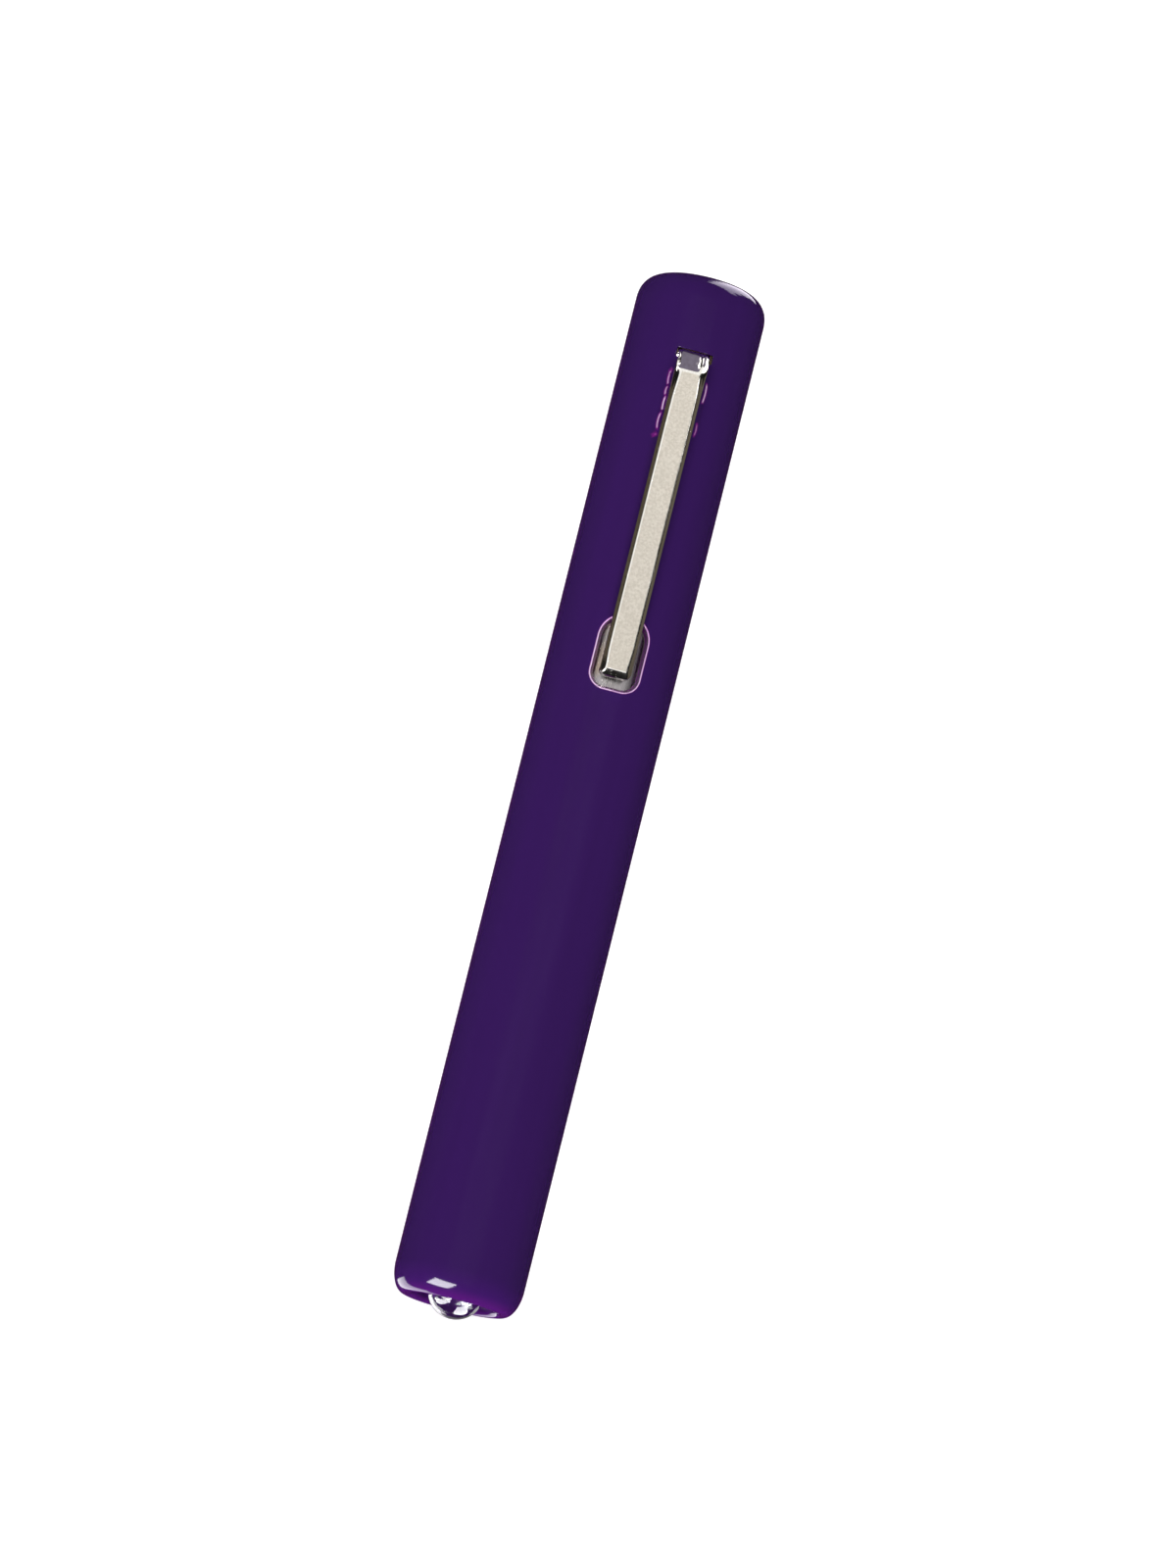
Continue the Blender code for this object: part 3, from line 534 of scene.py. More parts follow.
def patch_points(radius, holes, rings, spacing, keep_off):
    """A flat triangulation of the patch round the holes, in (x, s): its points and its triangles.

    rings are outlines that edges have to follow. The order of the points settles the triangles.
    """
    columns = [radius * math.sin(i * STEP_ANGLE) for i in range(-PATCH_COLUMNS, PATCH_COLUMNS + 1)]
    rows = range(int(PATCH_START) + 1, int(PATCH_END) + 1)
    edge_x = columns[-1]
    border = [(x, PATCH_START) for x in columns] + [(edge_x, float(s)) for s in rows]
    border += [(x, PATCH_END) for x in reversed(columns[:-1])]
    border += [(-edge_x, float(s)) for s in reversed(rows[:-1])]
    loops = [border, *holes, *rings]
    points, edges = [], []
    for loop in loops:
        first = len(points)
        points += loop
        count = len(loop)
        edges += [(first + i, first + (i + 1) % count) for i in range(count)]
    fixed = np.array(points)
    across = int(2 * edge_x / spacing)
    along = int((PATCH_END - PATCH_START) / spacing)
    for i in range(1, across):
        for j in range(1, along):
            stagger = spacing / 2 * (j % 2)
            x = -edge_x + 2 * edge_x * i / across + stagger - spacing / 4
            s = PATCH_START + (PATCH_END - PATCH_START) * j / along
            if abs(x) > edge_x - spacing * 0.4:
                continue
            if np.min(np.hypot(fixed[:, 0] - x, fixed[:, 1] - s)) < keep_off:
                continue
            points.append((x, s))
    result = delaunay_2d_cdt([Vector(p) for p in points], edges, [], 0, 1e-5)
    flat, triangles = [tuple(p) for p in result[0]], result[2]
    kept = []
    for triangle in triangles:
        x = sum(flat[i][0] for i in triangle) / len(triangle)
        s = sum(flat[i][1] for i in triangle) / len(triangle)
        if not any(inside(hole, x, s) for hole in holes):
            kept.append(triangle)
    return flat, kept


class Shell:
    """Collects points that are shared where they coincide, and the faces between them."""

    def __init__(self):
        # Each point also keeps an amount of painted light for the vinyl's colour.
        self.points, self.normals, self.thin, self.faces, self.known = [], [], [], [], {}

    def add(self, x, v, s, normal=None, thin=0.0):
        """Adds a point, or finds the one that is there, and returns its number."""
        key = (round(x, 4), round(v, 4), round(s, 4))
        if key not in self.known:
            self.known[key] = len(self.points)
            self.points.append((x, v, s))
            self.normals.append(normal)
            self.thin.append(thin)
        return self.known[key]

    def face(self, *corners):
        """Adds a face, unless fewer than three of its corners are different points."""
        unique = []
        for corner in corners:
            if corner not in unique:
                unique.append(corner)
        if len(unique) > 2:
            self.faces.append(unique)

    def band(self, first, second):
        """Joins two closed rows of points."""
        count = len(first)
        for i in range(count):
            j = (i + 1) % count
            self.face(first[i], first[j], second[j], second[i])


def profile_normals(profile):
    """Normals in (radius, s) of a profile that runs forward along the outside, pointing outward."""
    result = []
    last = len(profile) - 1
    for index in range(len(profile)):
        before, after = profile[max(index - 1, 0)], profile[min(index + 1, last)]
        dr, ds = after[0] - before[0], after[1] - before[1]
        length = math.hypot(dr, ds) or 1.0
        result.append((ds / length, -dr / length))
    return result


def around(r, turn):
    """A point of a circle about the barrel's axis as (x, v), turned from straight up."""
    return r * math.sin(turn), r * math.cos(turn)


def wall_faces(shell, rows, stations):
    """The faces between rows of the tube's wall, apart from those in the patch round the holes."""
    for (first, s_first), (second, s_second) in zip(zip(rows, stations), zip(rows[1:], stations[1:])):
        low, high = min(s_first, s_second), max(s_first, s_second)
        beside_patch = low >= PATCH_START - 0.01 and high <= PATCH_END + 0.01
        for column in range(COLUMNS):
            signed = column if column < COLUMNS / 2 else column - COLUMNS
            if beside_patch and -PATCH_COLUMNS <= signed < PATCH_COLUMNS:
                continue
            after = (column + 1) % COLUMNS
            shell.face(first[column], first[after], second[after], second[column])


def patch_faces(shell, flat, triangles, place):
    """The patch's faces. place turns a flat point into the arguments of shell.add."""
    ids = [shell.add(*place(x, s)) for x, s in flat]
    for triangle in triangles:
        shell.face(*(ids[i] for i in triangle))


def hole_edge(shell, outline, size, foot, thin_peak):
    """The rounded edge of a hole, and its wall down to its foot in the bore."""
    directions = outward(outline)
    bands = []
    for step in range(RIM_STEPS + 1):
        turn = math.pi / 2 * step / RIM_STEPS
        out, drop = size * (1 - math.sin(turn)), size * (1 - math.cos(turn))
        band = []
        for (x, s), (dx, ds) in zip(outline, directions):
            px, ps = x + dx * out, s + ds * out
            up = top_normal(px, ps)
            normal = Vector((
                up[0] * math.cos(turn) - dx * math.sin(turn), up[1] * math.cos(turn),
                up[2] * math.cos(turn) - ds * math.sin(turn),
            )).normalized()
            # Painted highlight along the rounded edge, peaking partway round, weaker on the right side.
            side = 1.0 if x < 0 else RIM_PAINT_RIGHT
            thin = side * thin_peak * math.exp(-(((step - RIM_PAINT_STEP) / RIM_PAINT_SPREAD) ** 2)) if step else 0.0
            band.append(shell.add(px, top_height(px, ps) - drop, ps, tuple(normal), thin))
        bands.append(band)
    tops = [(x, top_height(x, s) - size, s) for x, s in outline]
    lows = [(x, bore_height(x, s), s) for x, s in foot]
    # The wall carries a faint share of the painted highlight.
    for step in range(1, WALL_STEPS + 1):
        share = step / WALL_STEPS
        band = []
        for top, low in zip(tops, lows):
            place = (a + (b - a) * share for a, b in zip(top, low))
            band.append(shell.add(*place, None, WALL_PAINT_SHARE * thin_peak))
        bands.append(band)
    for first, second in zip(bands, bands[1:]):
        shell.band(first, second)


def casing_outside():
    """The outside's profile as (radius, s), from the middle of the dome to the mouth's opening."""
    dome = superellipse(0, RADIUS, DOME_HEIGHT, DOME_STEPS, DOME_EXPONENTS)
    shoulder = superellipse(CREST, RADIUS - CREST, SHOULDER, SHOULDER_STEPS)
    lip = superellipse(CREST, MOUTH - CREST, MOUTH_ROUND, LIP_STEPS)
    profile = [(r, DOME_HEIGHT - z) for r, z in reversed(dome)]
    profile += [(RADIUS, float(s)) for s in range(4, int(LENGTH - SHOULDER) + 1)]
    profile = [point for point in profile if point[1] < LENGTH - SHOULDER - 0.05]
    profile += [(r, LENGTH - SHOULDER + z) for r, z in shoulder]
    return profile + [(r, LENGTH - MOUTH_ROUND + z) for r, z in reversed(lip)][1:]


def casing_inside():
    """The inside's profile as (radius, s), from the mouth's opening to the middle of the bore's domed end."""
    profile = [(MOUTH, LENGTH - MOUTH_ROUND), (MOUTH, 107.9), (MOUTH, BORE_END), (5.2, BORE_END)]
    profile += [(BORE, BORE_END)] + [(BORE, float(s)) for s in range(106, 3, -1)]
    end = superellipse(0, BORE, DOME_HEIGHT - END_WALL, BORE_DOME_STEPS, DOME_EXPONENTS)
    return profile + [(r, DOME_HEIGHT - z) for r, z in end]


def make_casing():
    """The vinyl tube as one closed skin: outside, mouth, bore, window, slot, pad and the leg's pocket."""
    shell = Shell()
    outer = casing_outside()
    normals = profile_normals(outer)
    normals[0] = (0.0, -1.0)
    turns = [column * STEP_ANGLE for column in range(COLUMNS)]
    rows = []
    # Outside points carry the painted glow on the lip.
    for (r, s), (nr, ns) in zip(outer, normals):
        row = []
        for turn in turns:
            (x, v), normal = around(r, turn), (*around(nr, turn), ns)
            if v < -AXIS_HEIGHT:
                v, normal = -AXIS_HEIGHT, (0, -1, 0)
            row.append(shell.add(x, v, s, normal, lip_thinning(s)))
        rows.append(row)
    wall_faces(shell, rows, [s for _, s in outer])

    window = rounded_box(WINDOW_HALF, WINDOW_START, WINDOW_END, WINDOW_ARCH, WINDOW_FOOT, *WINDOW_FINENESS)
    slot = rounded_box(SLOT_HALF, SLOT_START, SLOT_END, SLOT_CORNER, SLOT_CORNER, *SLOT_FINENESS)
    rings = [offset(window, RIM + WINDOW_RING)]
    for gap in PAD_RINGS:
        corner = PAD_CORNER + gap
        rings.append(rounded_box(PAD_HALF + gap, PAD_START - gap, PAD_END + gap, corner, corner, *PAD_FINENESS))
    flat, triangles = patch_points(RADIUS, [offset(window, RIM), offset(slot, SLOT_RIM)], rings, *OUTER_SPACING)
    # The patch's points carry the painted highlight dashes along the pad's sides.
    patch_faces(
        shell, flat, triangles, lambda x, s: (x, top_height(x, s), s, top_normal(x, s), pad_thinning(x, s))
    )
    window_foot, slot_foot = offset(window, -WALL_DRAFT), offset(slot, 0.0)
    # The window's edge gets the painted highlight, the slot's edge none.
    hole_edge(shell, window, RIM, window_foot, 1.0)
    hole_edge(shell, slot, SLOT_RIM, slot_foot, 0.0)

    inner = casing_inside()
    rows = [[shell.add(*around(r, turn), s) for turn in turns] for r, s in inner]
    wall_faces(shell, rows, [s for _, s in inner])
    rings = []
    for inset in (0.0, POCKET_DRAFT):
        half, start, end = POCKET_HALF - inset, POCKET_START + inset, POCKET_END - inset
        rings.append([(half, start), (half, end), (-half, end), (-half, start)])
    flat, triangles = patch_points(BORE, [window_foot, slot_foot], rings, *BORE_SPACING)
    patch_faces(shell, flat, triangles, lambda x, s: (x, bore_height(x, s), s))

    mesh = make_mesh("casing_shell", shell.points, shell.faces, [VINYL], None, shell.normals)
    # A point attribute for the vinyl's painted highlights and painted glow.
    thin = mesh.attributes.new("thin", "FLOAT", "POINT")
    thin.data.foreach_set("value", shell.thin)
    obj = new_object("casing_shell", mesh, "barrel")
    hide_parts("casing")


make_casing()

# ---- turned parts ----

TURNED_COLUMNS = 128
LENS_RADIUS = (GLOBE_HIGH.x - GLOBE_LOW.x) / 2 / MM
LENS_CENTRE = OVERALL - LENS_RADIUS
CAVITY_TOP = 107.1
# Profiles as (radius, s). The lamp's glass: the ball of the lens, then the envelope, then its hollow.
LENS_BALL = [(0.0, OVERALL)] + [
    (LENS_RADIUS * math.sin(math.radians(a)), LENS_CENTRE + LENS_RADIUS * math.cos(math.radians(a)))
    for a in range(4, 91, 4)
]
ENVELOPE = [(2.93, 107.2), (2.88, 106.8), (2.88, 102.5), (2.88, 98.35), (2.80, 98.2)]
CAVITY = [(2.38, 98.2), (2.3, 98.35), (2.3, 102.5), (2.3, 106.4), (2.3, CAVITY_TOP)]
CAVITY += [(r, CAVITY_TOP + z) for r, z in superellipse(0, 2.3, 0.9, 14)][1:]
# The bushing: the dish round the lens, its raised edge, the outside, the back and the lamp's seat.
BUSHING = [
    (3.06, 107.85), (3.10, 107.77), (3.18, 107.75), (3.56, 107.75), (3.70, 107.79), (3.85, 107.88),
    (4.0, 107.97), (4.15, 108.1), (4.3, 108.24), (4.42, 108.32), (4.5, 108.35), (4.55, 108.3),
    (4.55, 107.15), (5.62, 107.15), (5.70, 107.07), (5.70, 98.13), (5.62, 98.05), (3.20, 98.05),
    (3.20, 100.1), (3.06, 100.1),
]


def make_turned(name, profile, material, node, sharp):
    """A smooth turned part. A profile that does not start on the axis is a ring."""
    shell = Shell()
    rows = []
    for r, s in profile:
        rows.append([
            shell.add(*around(r, 2 * math.pi * column / TURNED_COLUMNS), s) for column in range(TURNED_COLUMNS)
        ])
    if profile[0][0] > TINY:
        rows.append(rows[0])
    for first, second in zip(rows, rows[1:]):
        shell.band(first, second)
    mesh = make_mesh(name, shell.points, shell.faces, [material], sharp=sharp)
    obj = new_object(name, mesh, "barrel")
    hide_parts(node)


make_turned("lamp_lens", LENS_BALL + ENVELOPE + CAVITY, GLASS, "lamp_globe", 0.9)
make_turned("bushing_dish", BUSHING, PLASTIC, "lamp_bushing", 0.6)

# ---- the contact strip ----

STRIP_INNER, STRIP_SHEET, STRIP_HALF = 5.47, 0.22, 2.62
STRIP_TURN = math.asin(STRIP_HALF / (STRIP_INNER + STRIP_SHEET))
STRIP_PIECES = 20
STRIP_STATIONS = [34.5, 34.6] + [float(s) for s in range(35, 97)] + [96.9, 97.1, 97.2]
# The tab bent down at the lamp's flange: its two faces, the heights of its rows, its width against the strip's.
TAB_FACES, TAB_RADII, TAB_SHARE = (96.98, 97.2), (5.0, 4.2, 3.5), 0.8


def make_strip():
    """The bare metal strip in the window, faintly rippled, with its tab."""
    shell = Shell()
    turns = [STRIP_TURN * (2 * i / STRIP_PIECES - 1) for i in range(STRIP_PIECES + 1)]
    sections, tab = [], []
    for s in STRIP_STATIONS:
        outer, inner = [], []
        for turn in turns:
            ripple = 0.012 * math.sin(1.7 * s + 2.0 * turn) - 0.02 * math.exp(-((turn / 0.12) ** 2))
            outer.append(shell.add(*around(STRIP_INNER + STRIP_SHEET + min(ripple, 0), turn), s))
            inner.append(shell.add(*around(STRIP_INNER, turn), s))
        sections.append(outer + list(reversed(inner)))
    for r in TAB_RADII:
        back, front = ([shell.add(*around(r, turn * TAB_SHARE), s) for turn in turns] for s in TAB_FACES)
        tab.append(back + list(reversed(front)))
    for rows in (sections, tab):
        for first, second in zip(rows, rows[1:]):
            shell.band(first, second)
        shell.face(*rows[0])
        shell.face(*rows[-1])
    mesh = make_mesh("strip_sheet", shell.points, shell.faces, [TINPLATE])
    obj = new_object("strip_sheet", mesh, "barrel")
    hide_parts("contact_strip")


make_strip()

# ---- the clip ----

CLIP_HALF, CLIP_SHEET, FLANGE_DEPTH = 1.65, 0.4, 0.85
# The clip stands a little to the left of the middle, as in the photograph.
CLIP_SHIFT = -0.12
# The inner leg and its corner up into the slot.
LEG_S, LEG_HEIGHT, LEG_CORNER, LEG_CORNER_STEPS = 9.0, 5.94, 0.3, 5
LEG_STATIONS = (17.5, 16.5, 15.0, 13.5, 12.0, 11.0, 10.4, LEG_S + 0.35)
# The bend: a quarter of an ellipse from the leg up to the arm.
BEND_CENTRE, BEND_RADIUS, BEND_STEPS = (11.1, 7.05), 1.5, 24
BEND_REACH = BEND_CENTRE[0] - LEG_S
BEND_DIAGONAL = math.hypot(BEND_RADIUS, BEND_REACH)
CHORD = (-BEND_RADIUS / BEND_DIAGONAL, BEND_REACH / BEND_DIAGONAL)
BEND_FACE = 0.93
# The arm: where the satin face starts, where the sides are folded down, its fall towards the lens, its tip.
FLAT_START, FOLD_START, FOLD_END = 11.36, 11.0, 11.65
ARM_FALL = 0.6 / (43.4 - BEND_CENTRE[0])
ARM_STATIONS = [
    11.16, 11.22, 11.28, 11.32, 11.36, 11.4, 11.46, 11.54, 11.64, 11.76, 11.9, 12.1, 12.35, 12.65, 13.0, 13.4,
]
ARM_STATIONS += [14.0 + 0.75 * i for i in range(38)]
ARM_END, TIP_BEVEL, TIP_BOTTOM, TIP_STEPS = 42.9, 0.75, 6.45, 8
ARM_STATIONS += [42.0, 42.25, 42.45, 42.6, 42.72, 42.82, ARM_END]
# A row's stage: 0 on the leg, 0 to 1 round the bend, ON_ARM, and ON_TIP to ON_TIP + 1 over the tip.
ON_ARM, ON_TIP = 2.0, 3.0
# Points across half the face, as shares of its half width.
ACROSS = (0.0, 0.12, 0.24, 0.36, 0.48, 0.6, 0.72, 0.84, 0.94, 1.0)
# Points from the face to the side. On the bend: share of the way out, and how far it has rounded over. On the
# arm: a narrow bevel, then the turned-down side, as share of the bevel, share of the rest, drop.
BEND_EDGE = (
    (0.07, 0.02), (0.17, 0.08), (0.3, 0.22), (0.45, 0.4), (0.6, 0.59), (0.75, 0.78), (0.93, 0.95),
    (1.0, 1.12), (1.0, 1.3),
)
ARM_EDGE = (
    (0.2, 0.0, 0.004), (0.6, 0.0, 0.018), (1.0, 0.0, 0.038), (1.0, 0.16, 0.1), (1.0, 0.38, 0.21),
    (1.0, 0.62, 0.34), (1.0, 0.9, 0.44), (1.0, 1.0, 0.515), (1.0, 1.0, 0.598),
)
BEVEL_WIDTH, BEND_ROUND, TIP_DROP, TIP_POWER = 0.15, 0.19, 0.46, 1.6
SIDE_SHEET = 0.34
# The stamped hollow: its depth against the full one, its middle and half width across, how steep its left and
# right walls are, and the lump at its right as depth, place (w, stage) and size.
HOLLOW_DEPTH, HOLLOW_MIDDLE, HOLLOW_HALF, LEFT_POWER, RIGHT_POWER = 0.92, -0.27, 1.13, 20, 6
LUMP, LUMP_PLACE, LUMP_SIZE = 0.07, (0.5, 0.6), (0.18, 0.12)


def arm_height(s):
    return BEND_CENTRE[1] + BEND_RADIUS - ARM_FALL * (s - BEND_CENTRE[0])


def clip_rows():
    """Rows along the strip: (s, v) of the sheet's middle, its tangent, and the row's stage."""
    rows = [((s, LEG_HEIGHT), (-1.0, 0.0), 0.0) for s in LEG_STATIONS]
    for step in range(1, LEG_CORNER_STEPS + 1):
        turn = math.pi / 2 * step / LEG_CORNER_STEPS
        s, v = LEG_S + LEG_CORNER * (1 - math.sin(turn)), LEG_HEIGHT + LEG_CORNER * (1 - math.cos(turn))
        rows.append(((s, v), (-math.cos(turn), math.sin(turn)), 0.0))
    rows += [((LEG_S, v), (0.0, 1.0), 0.0) for v in (6.5, 6.7, 6.9)]
    for step in range(BEND_STEPS + 1):
        turn = math.pi / 2 * step / BEND_STEPS
        s, v = BEND_CENTRE[0] - BEND_REACH * math.cos(turn), BEND_CENTRE[1] + BEND_RADIUS * math.sin(turn)
        tangent = (BEND_REACH * math.sin(turn), BEND_RADIUS * math.cos(turn))
        rows.append(((s, v), tangent, step / BEND_STEPS))
    rows += [((s, arm_height(s)), (1.0, -ARM_FALL), ON_ARM) for s in ARM_STATIONS]
    for step in range(1, TIP_STEPS + 1):
        out = math.sin(math.pi / 2 * step / TIP_STEPS)
        s = ARM_END + TIP_BEVEL * out
        rows.append(((s, arm_height(s)), (1.0, -ARM_FALL), ON_TIP + out))
    return rows


def flat_half(s):
    """Half the width of the satin face."""
    wide = BEND_FACE + 0.17 * smooth(s, FLAT_START, 14.2) + 0.03 * smooth(s, 14.0, 18.0)
    return wide - 0.14 * smooth(s, 40.6, ARM_END)


def clip_section(s, stage):
    """The strip's closed outline at a row as (w, n): w across, n along the outward normal from mid-sheet."""
    half = CLIP_SHEET / 2
    tip = max(stage - ON_TIP, 0.0)
    tip_drop = TIP_DROP * tip ** TIP_POWER
    fold, face = 0.0, BEND_FACE
    if stage >= ON_ARM:
        fold, face = smooth(s, FOLD_START, FOLD_END), flat_half(min(s, ARM_END))
    reach = CLIP_HALF - face
    if tip:
        reach = reach * math.sqrt(max(1 - tip * tip, 0.0)) + 0.04 * tip
    outline = [(face * share, half - tip_drop) for share in ACROSS]
    bevel = min(BEVEL_WIDTH, 0.4 * reach)
    for (out, down), (bevel_share, side_share, arm_drop) in zip(BEND_EDGE, ARM_EDGE):
        arm_out = bevel * bevel_share + (reach - bevel) * side_share
        if tip:
            arm_drop = max(arm_drop, tip_drop + 0.04 * arm_drop)
        bend_out, bend_drop = reach * out, BEND_ROUND * down * down
        outline.append((
            face + bend_out + (arm_out - bend_out) * fold, half - (bend_drop + (arm_drop - bend_drop) * fold)
        ))
    bottom = CLIP_SHEET + (FLANGE_DEPTH - CLIP_SHEET) * fold
    if stage >= ON_TIP:
        bottom = arm_height(s) + half - TIP_BOTTOM
    ceiling = CLIP_SHEET if stage < ON_TIP + 0.3 else bottom
    edge = face + reach
    inner = max(edge - SIDE_SHEET, 0.05)
    outline += [(edge, half - bottom + 0.05), (edge - 0.04, half - bottom), (inner, half - bottom)]
    outline += [(inner - 0.01, half - (ceiling + bottom) / 2), (inner - 0.05, half - ceiling)]
    outline += [(inner * share, half - ceiling - 0.0005) for share in (0.8, 0.6, 0.4, 0.2, 0.0)]
    return outline + [(-w, n) for w, n in reversed(outline) if w > TINY]


def hollow(w, stage):
    """Depth of the stamped hollow in the bend: nearly flat-floored from the back edge up to the satin face."""
    if not 0.0 < stage < 1.0:
        return 0.0
    turn = stage * math.pi / 2
    sagitta = BEND_RADIUS * BEND_REACH / BEND_DIAGONAL * (math.cos(turn) + math.sin(turn) - 1)
    share = (w - HOLLOW_MIDDLE) / HOLLOW_HALF
    across = math.exp(-(share ** (LEFT_POWER if share < 0 else RIGHT_POWER)))
    ripple = 0.003 * math.cos(11 * w + 1.0) * math.sin(turn) + 0.008 * math.cos(9 * stage + 2 * w)
    lump = sum(((value - middle) / size) ** 2 for value, middle, size in zip((w, stage), LUMP_PLACE, LUMP_SIZE))
    return (HOLLOW_DEPTH * sagitta + ripple * math.sin(2 * turn)) * across - LUMP * math.exp(-lump)


def make_clip():
    """Inner leg, bend and arm as one strip."""
    shell = Shell()
    rings, spans = [], []
    for (s, v), (ts, tv), stage in clip_rows():
        length = math.hypot(ts, tv)
        normal = (-tv / length, ts / length)
        ring = []
        for w, n in clip_section(s, stage):
            sunk = hollow(w, stage)
            place = (v + normal[1] * n - CHORD[1] * sunk, s + normal[0] * n - CHORD[0] * sunk)
            ring.append(shell.add(w + CLIP_SHIFT, *place))
        rings.append(ring)
        spans.append(stage == ON_ARM and FLAT_START - 0.02 <= s < ARM_END - 0.01)
    kinds = []
    count, top_count = len(rings[0]), len(ACROSS)
    for first, second, on_face in zip(rings, rings[1:], spans):
        for i in range(count):
            before, after = len(shell.faces), (i + 1) % count
            shell.face(first[i], first[after], second[after], second[i])
            satin = on_face and (i < top_count - 1 or i > count - top_count)
            if len(shell.faces) > before:
                kinds.append(0 if satin else 1)
    for ring in (rings[0], rings[-1]):
        shell.face(*ring)
        kinds.append(1)
    mesh = make_mesh("clip_strip", shell.points, shell.faces, [SATIN, BRIGHT], kinds, sharp=0.55)
    obj = new_object("clip_strip", mesh)
    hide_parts("clip_arm", "clip_anchor")
    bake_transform(obj)


make_clip()

# ---- floor, lights, camera ----


FLOOR_REACH, FLOOR_DROP = 3.0, 0.00002
BACKDROP_SIDES, BACKDROP_LOW, BACKDROP_HIGH = 72, -0.01, 2.4


def make_floor():
    """A plain white floor and a round white backdrop. Neither shows in the part's own reflections."""
    mesh = bpy.data.meshes.new("floor")
    corners = [(x * FLOOR_REACH, y * FLOOR_REACH, 0) for x, y in ((-1, -1), (1, -1), (1, 1), (-1, 1))]
    mesh.from_pydata(corners, [], [(0, 1, 2, 3)])
    n = Nodes("floor_white")
    n.set(Roughness=0.9, Specular_IOR_Level=0.0, Emission_Strength=0.78, Emission_Color=(1, 1, 1, 1))
    n.colour(n.mix(n.spread(n.noise(30), 0, 1), (0.60, 0.60, 0.60), (0.63, 0.63, 0.63)))
    mesh.materials.append(n.material)
    floor = new_object("floor", mesh)
    floor.location.z = -FLOOR_DROP
    floor.visible_glossy = False
    floor.visible_transmission = False
    ring = [around(FLOOR_REACH, a * 2 * math.pi / BACKDROP_SIDES) for a in range(BACKDROP_SIDES)]
    sides = []
    for a in range(BACKDROP_SIDES):
        after = (a + 1) % BACKDROP_SIDES
        sides.append((a, after, BACKDROP_SIDES + after, BACKDROP_SIDES + a))
    wall = bpy.data.meshes.new("backdrop")
    wall.from_pydata([(x, y, z) for z in (BACKDROP_LOW, BACKDROP_HIGH) for x, y in ring], [], sides)
    wall.materials.append(n.material)
    backdrop = new_object("backdrop", wall)
    backdrop.visible_glossy = False
    backdrop.visible_diffuse = False
    backdrop.visible_transmission = False
    backdrop.visible_shadow = False


def direction(azimuth, elevation):
    """A unit direction. Azimuth in degrees from +Y towards +X."""
    a, e = math.radians(azimuth), math.radians(elevation)
    return Vector((math.sin(a) * math.cos(e), math.cos(a) * math.cos(e), math.sin(e)))


def add_card(
    name, anchor, towards, distance, size, radiance, along, only=(), diffuse=False, glossy=True,
    colour=(1, 1, 1),
):
    """A flat softbox that faces anchor from a distance.

    along is the way its first side runs. only names the pieces it lights, and none means all of them.
    """
    data = bpy.data.lights.new(name, "AREA")
    data.shape = "RECTANGLE"
    data.size, data.size_y = size
    data.energy = radiance * math.pi * size[0] * size[1]
    data.color = colour
    light = bpy.data.objects.new(name, data)
    bpy.context.scene.collection.objects.link(light)
    back = Vector(towards).normalized()
    long_side = Vector(along)
    long_side = (long_side - back * long_side.dot(back)).normalized()
    short_side = back.cross(long_side)
    light.rotation_mode = "QUATERNION"
    light.rotation_quaternion = Matrix((long_side, short_side, back)).transposed().to_quaternion()
    light.location = Vector(anchor) + back * distance
    light.visible_glossy = glossy
    light.visible_diffuse = diffuse
    light.visible_camera = False
    light.visible_transmission = glossy
    if only:
        receivers = bpy.data.collections.new(name + "_lit")
        for piece in only:
            receivers.objects.link(bpy.data.objects[piece])
        light.light_linking.receiver_collection = receivers


MIDDLE = Vector(at(0, 0, 50.8))
LENS_END = Vector(at(0, 0, 108.5))
DOME_END = Vector(at(0, 0, 1.5))
CASING, CLIP, STRIP, LENS = ("casing_shell",), ("clip_strip",), ("strip_sheet",), ("lamp_lens",)
METAL = CLIP + STRIP
X, Y, Z = (1, 0, 0), (0, 1, 0), (0, 0, 1)
MAGENTA, LAVENDER, LILAC = (0.85, 0.08, 0.85), (0.95, 0.88, 1.0), (0.8, 0.7, 1.0)
ROSE_WHITE, AMBER, SAND = (1.0, 0.96, 0.99), (1.0, 0.8, 0.55), (1.0, 0.85, 0.65)
make_floor()

# Light for every piece. The two fills give diffuse light only, the others are seen only as reflections.
add_card("overhead", MIDDLE, (-0.08, 0, 1), 1.6, (1.6, 1.6), 4.15, Y, diffuse=True, glossy=False)
add_card("lens_fill", LENS_END, (-0.04, -1, 0), 0.8, (0.1, 0.1), 500.0, X, (), True, False, MAGENTA)
add_card("low_left", LENS_END, (-0.42, -0.50, -0.62), 0.5, (0.43, 0.28), 4.4, (0.38, -0.57, 0.19))
# A softbox skewed to a parallelogram, made of strips side by side, each moved on along its length. Its
# reflection is the slanted patch on the lip at the mouth.
BOX_TOWARDS = (-0.506, -0.606, 0.612)
BOX_ALONG, BOX_ACROSS = Vector((0.85, -0.25, 0.46)), Vector((0.033, 0.878, 0.477))
BOX_LENGTH, BOX_STRIP, BOX_SKEW, BOX_STRIPS = 0.504, 0.0573, 0.036, 5
for strip in range(BOX_STRIPS):
    place = strip - BOX_STRIPS // 2
    shift = BOX_ALONG * place * BOX_SKEW + BOX_ACROSS * place * BOX_STRIP
    size = (BOX_LENGTH, BOX_STRIP)
    add_card(f"front_strip_{strip}", LENS_END + shift, BOX_TOWARDS, 0.74, size, 19.0, BOX_ALONG)
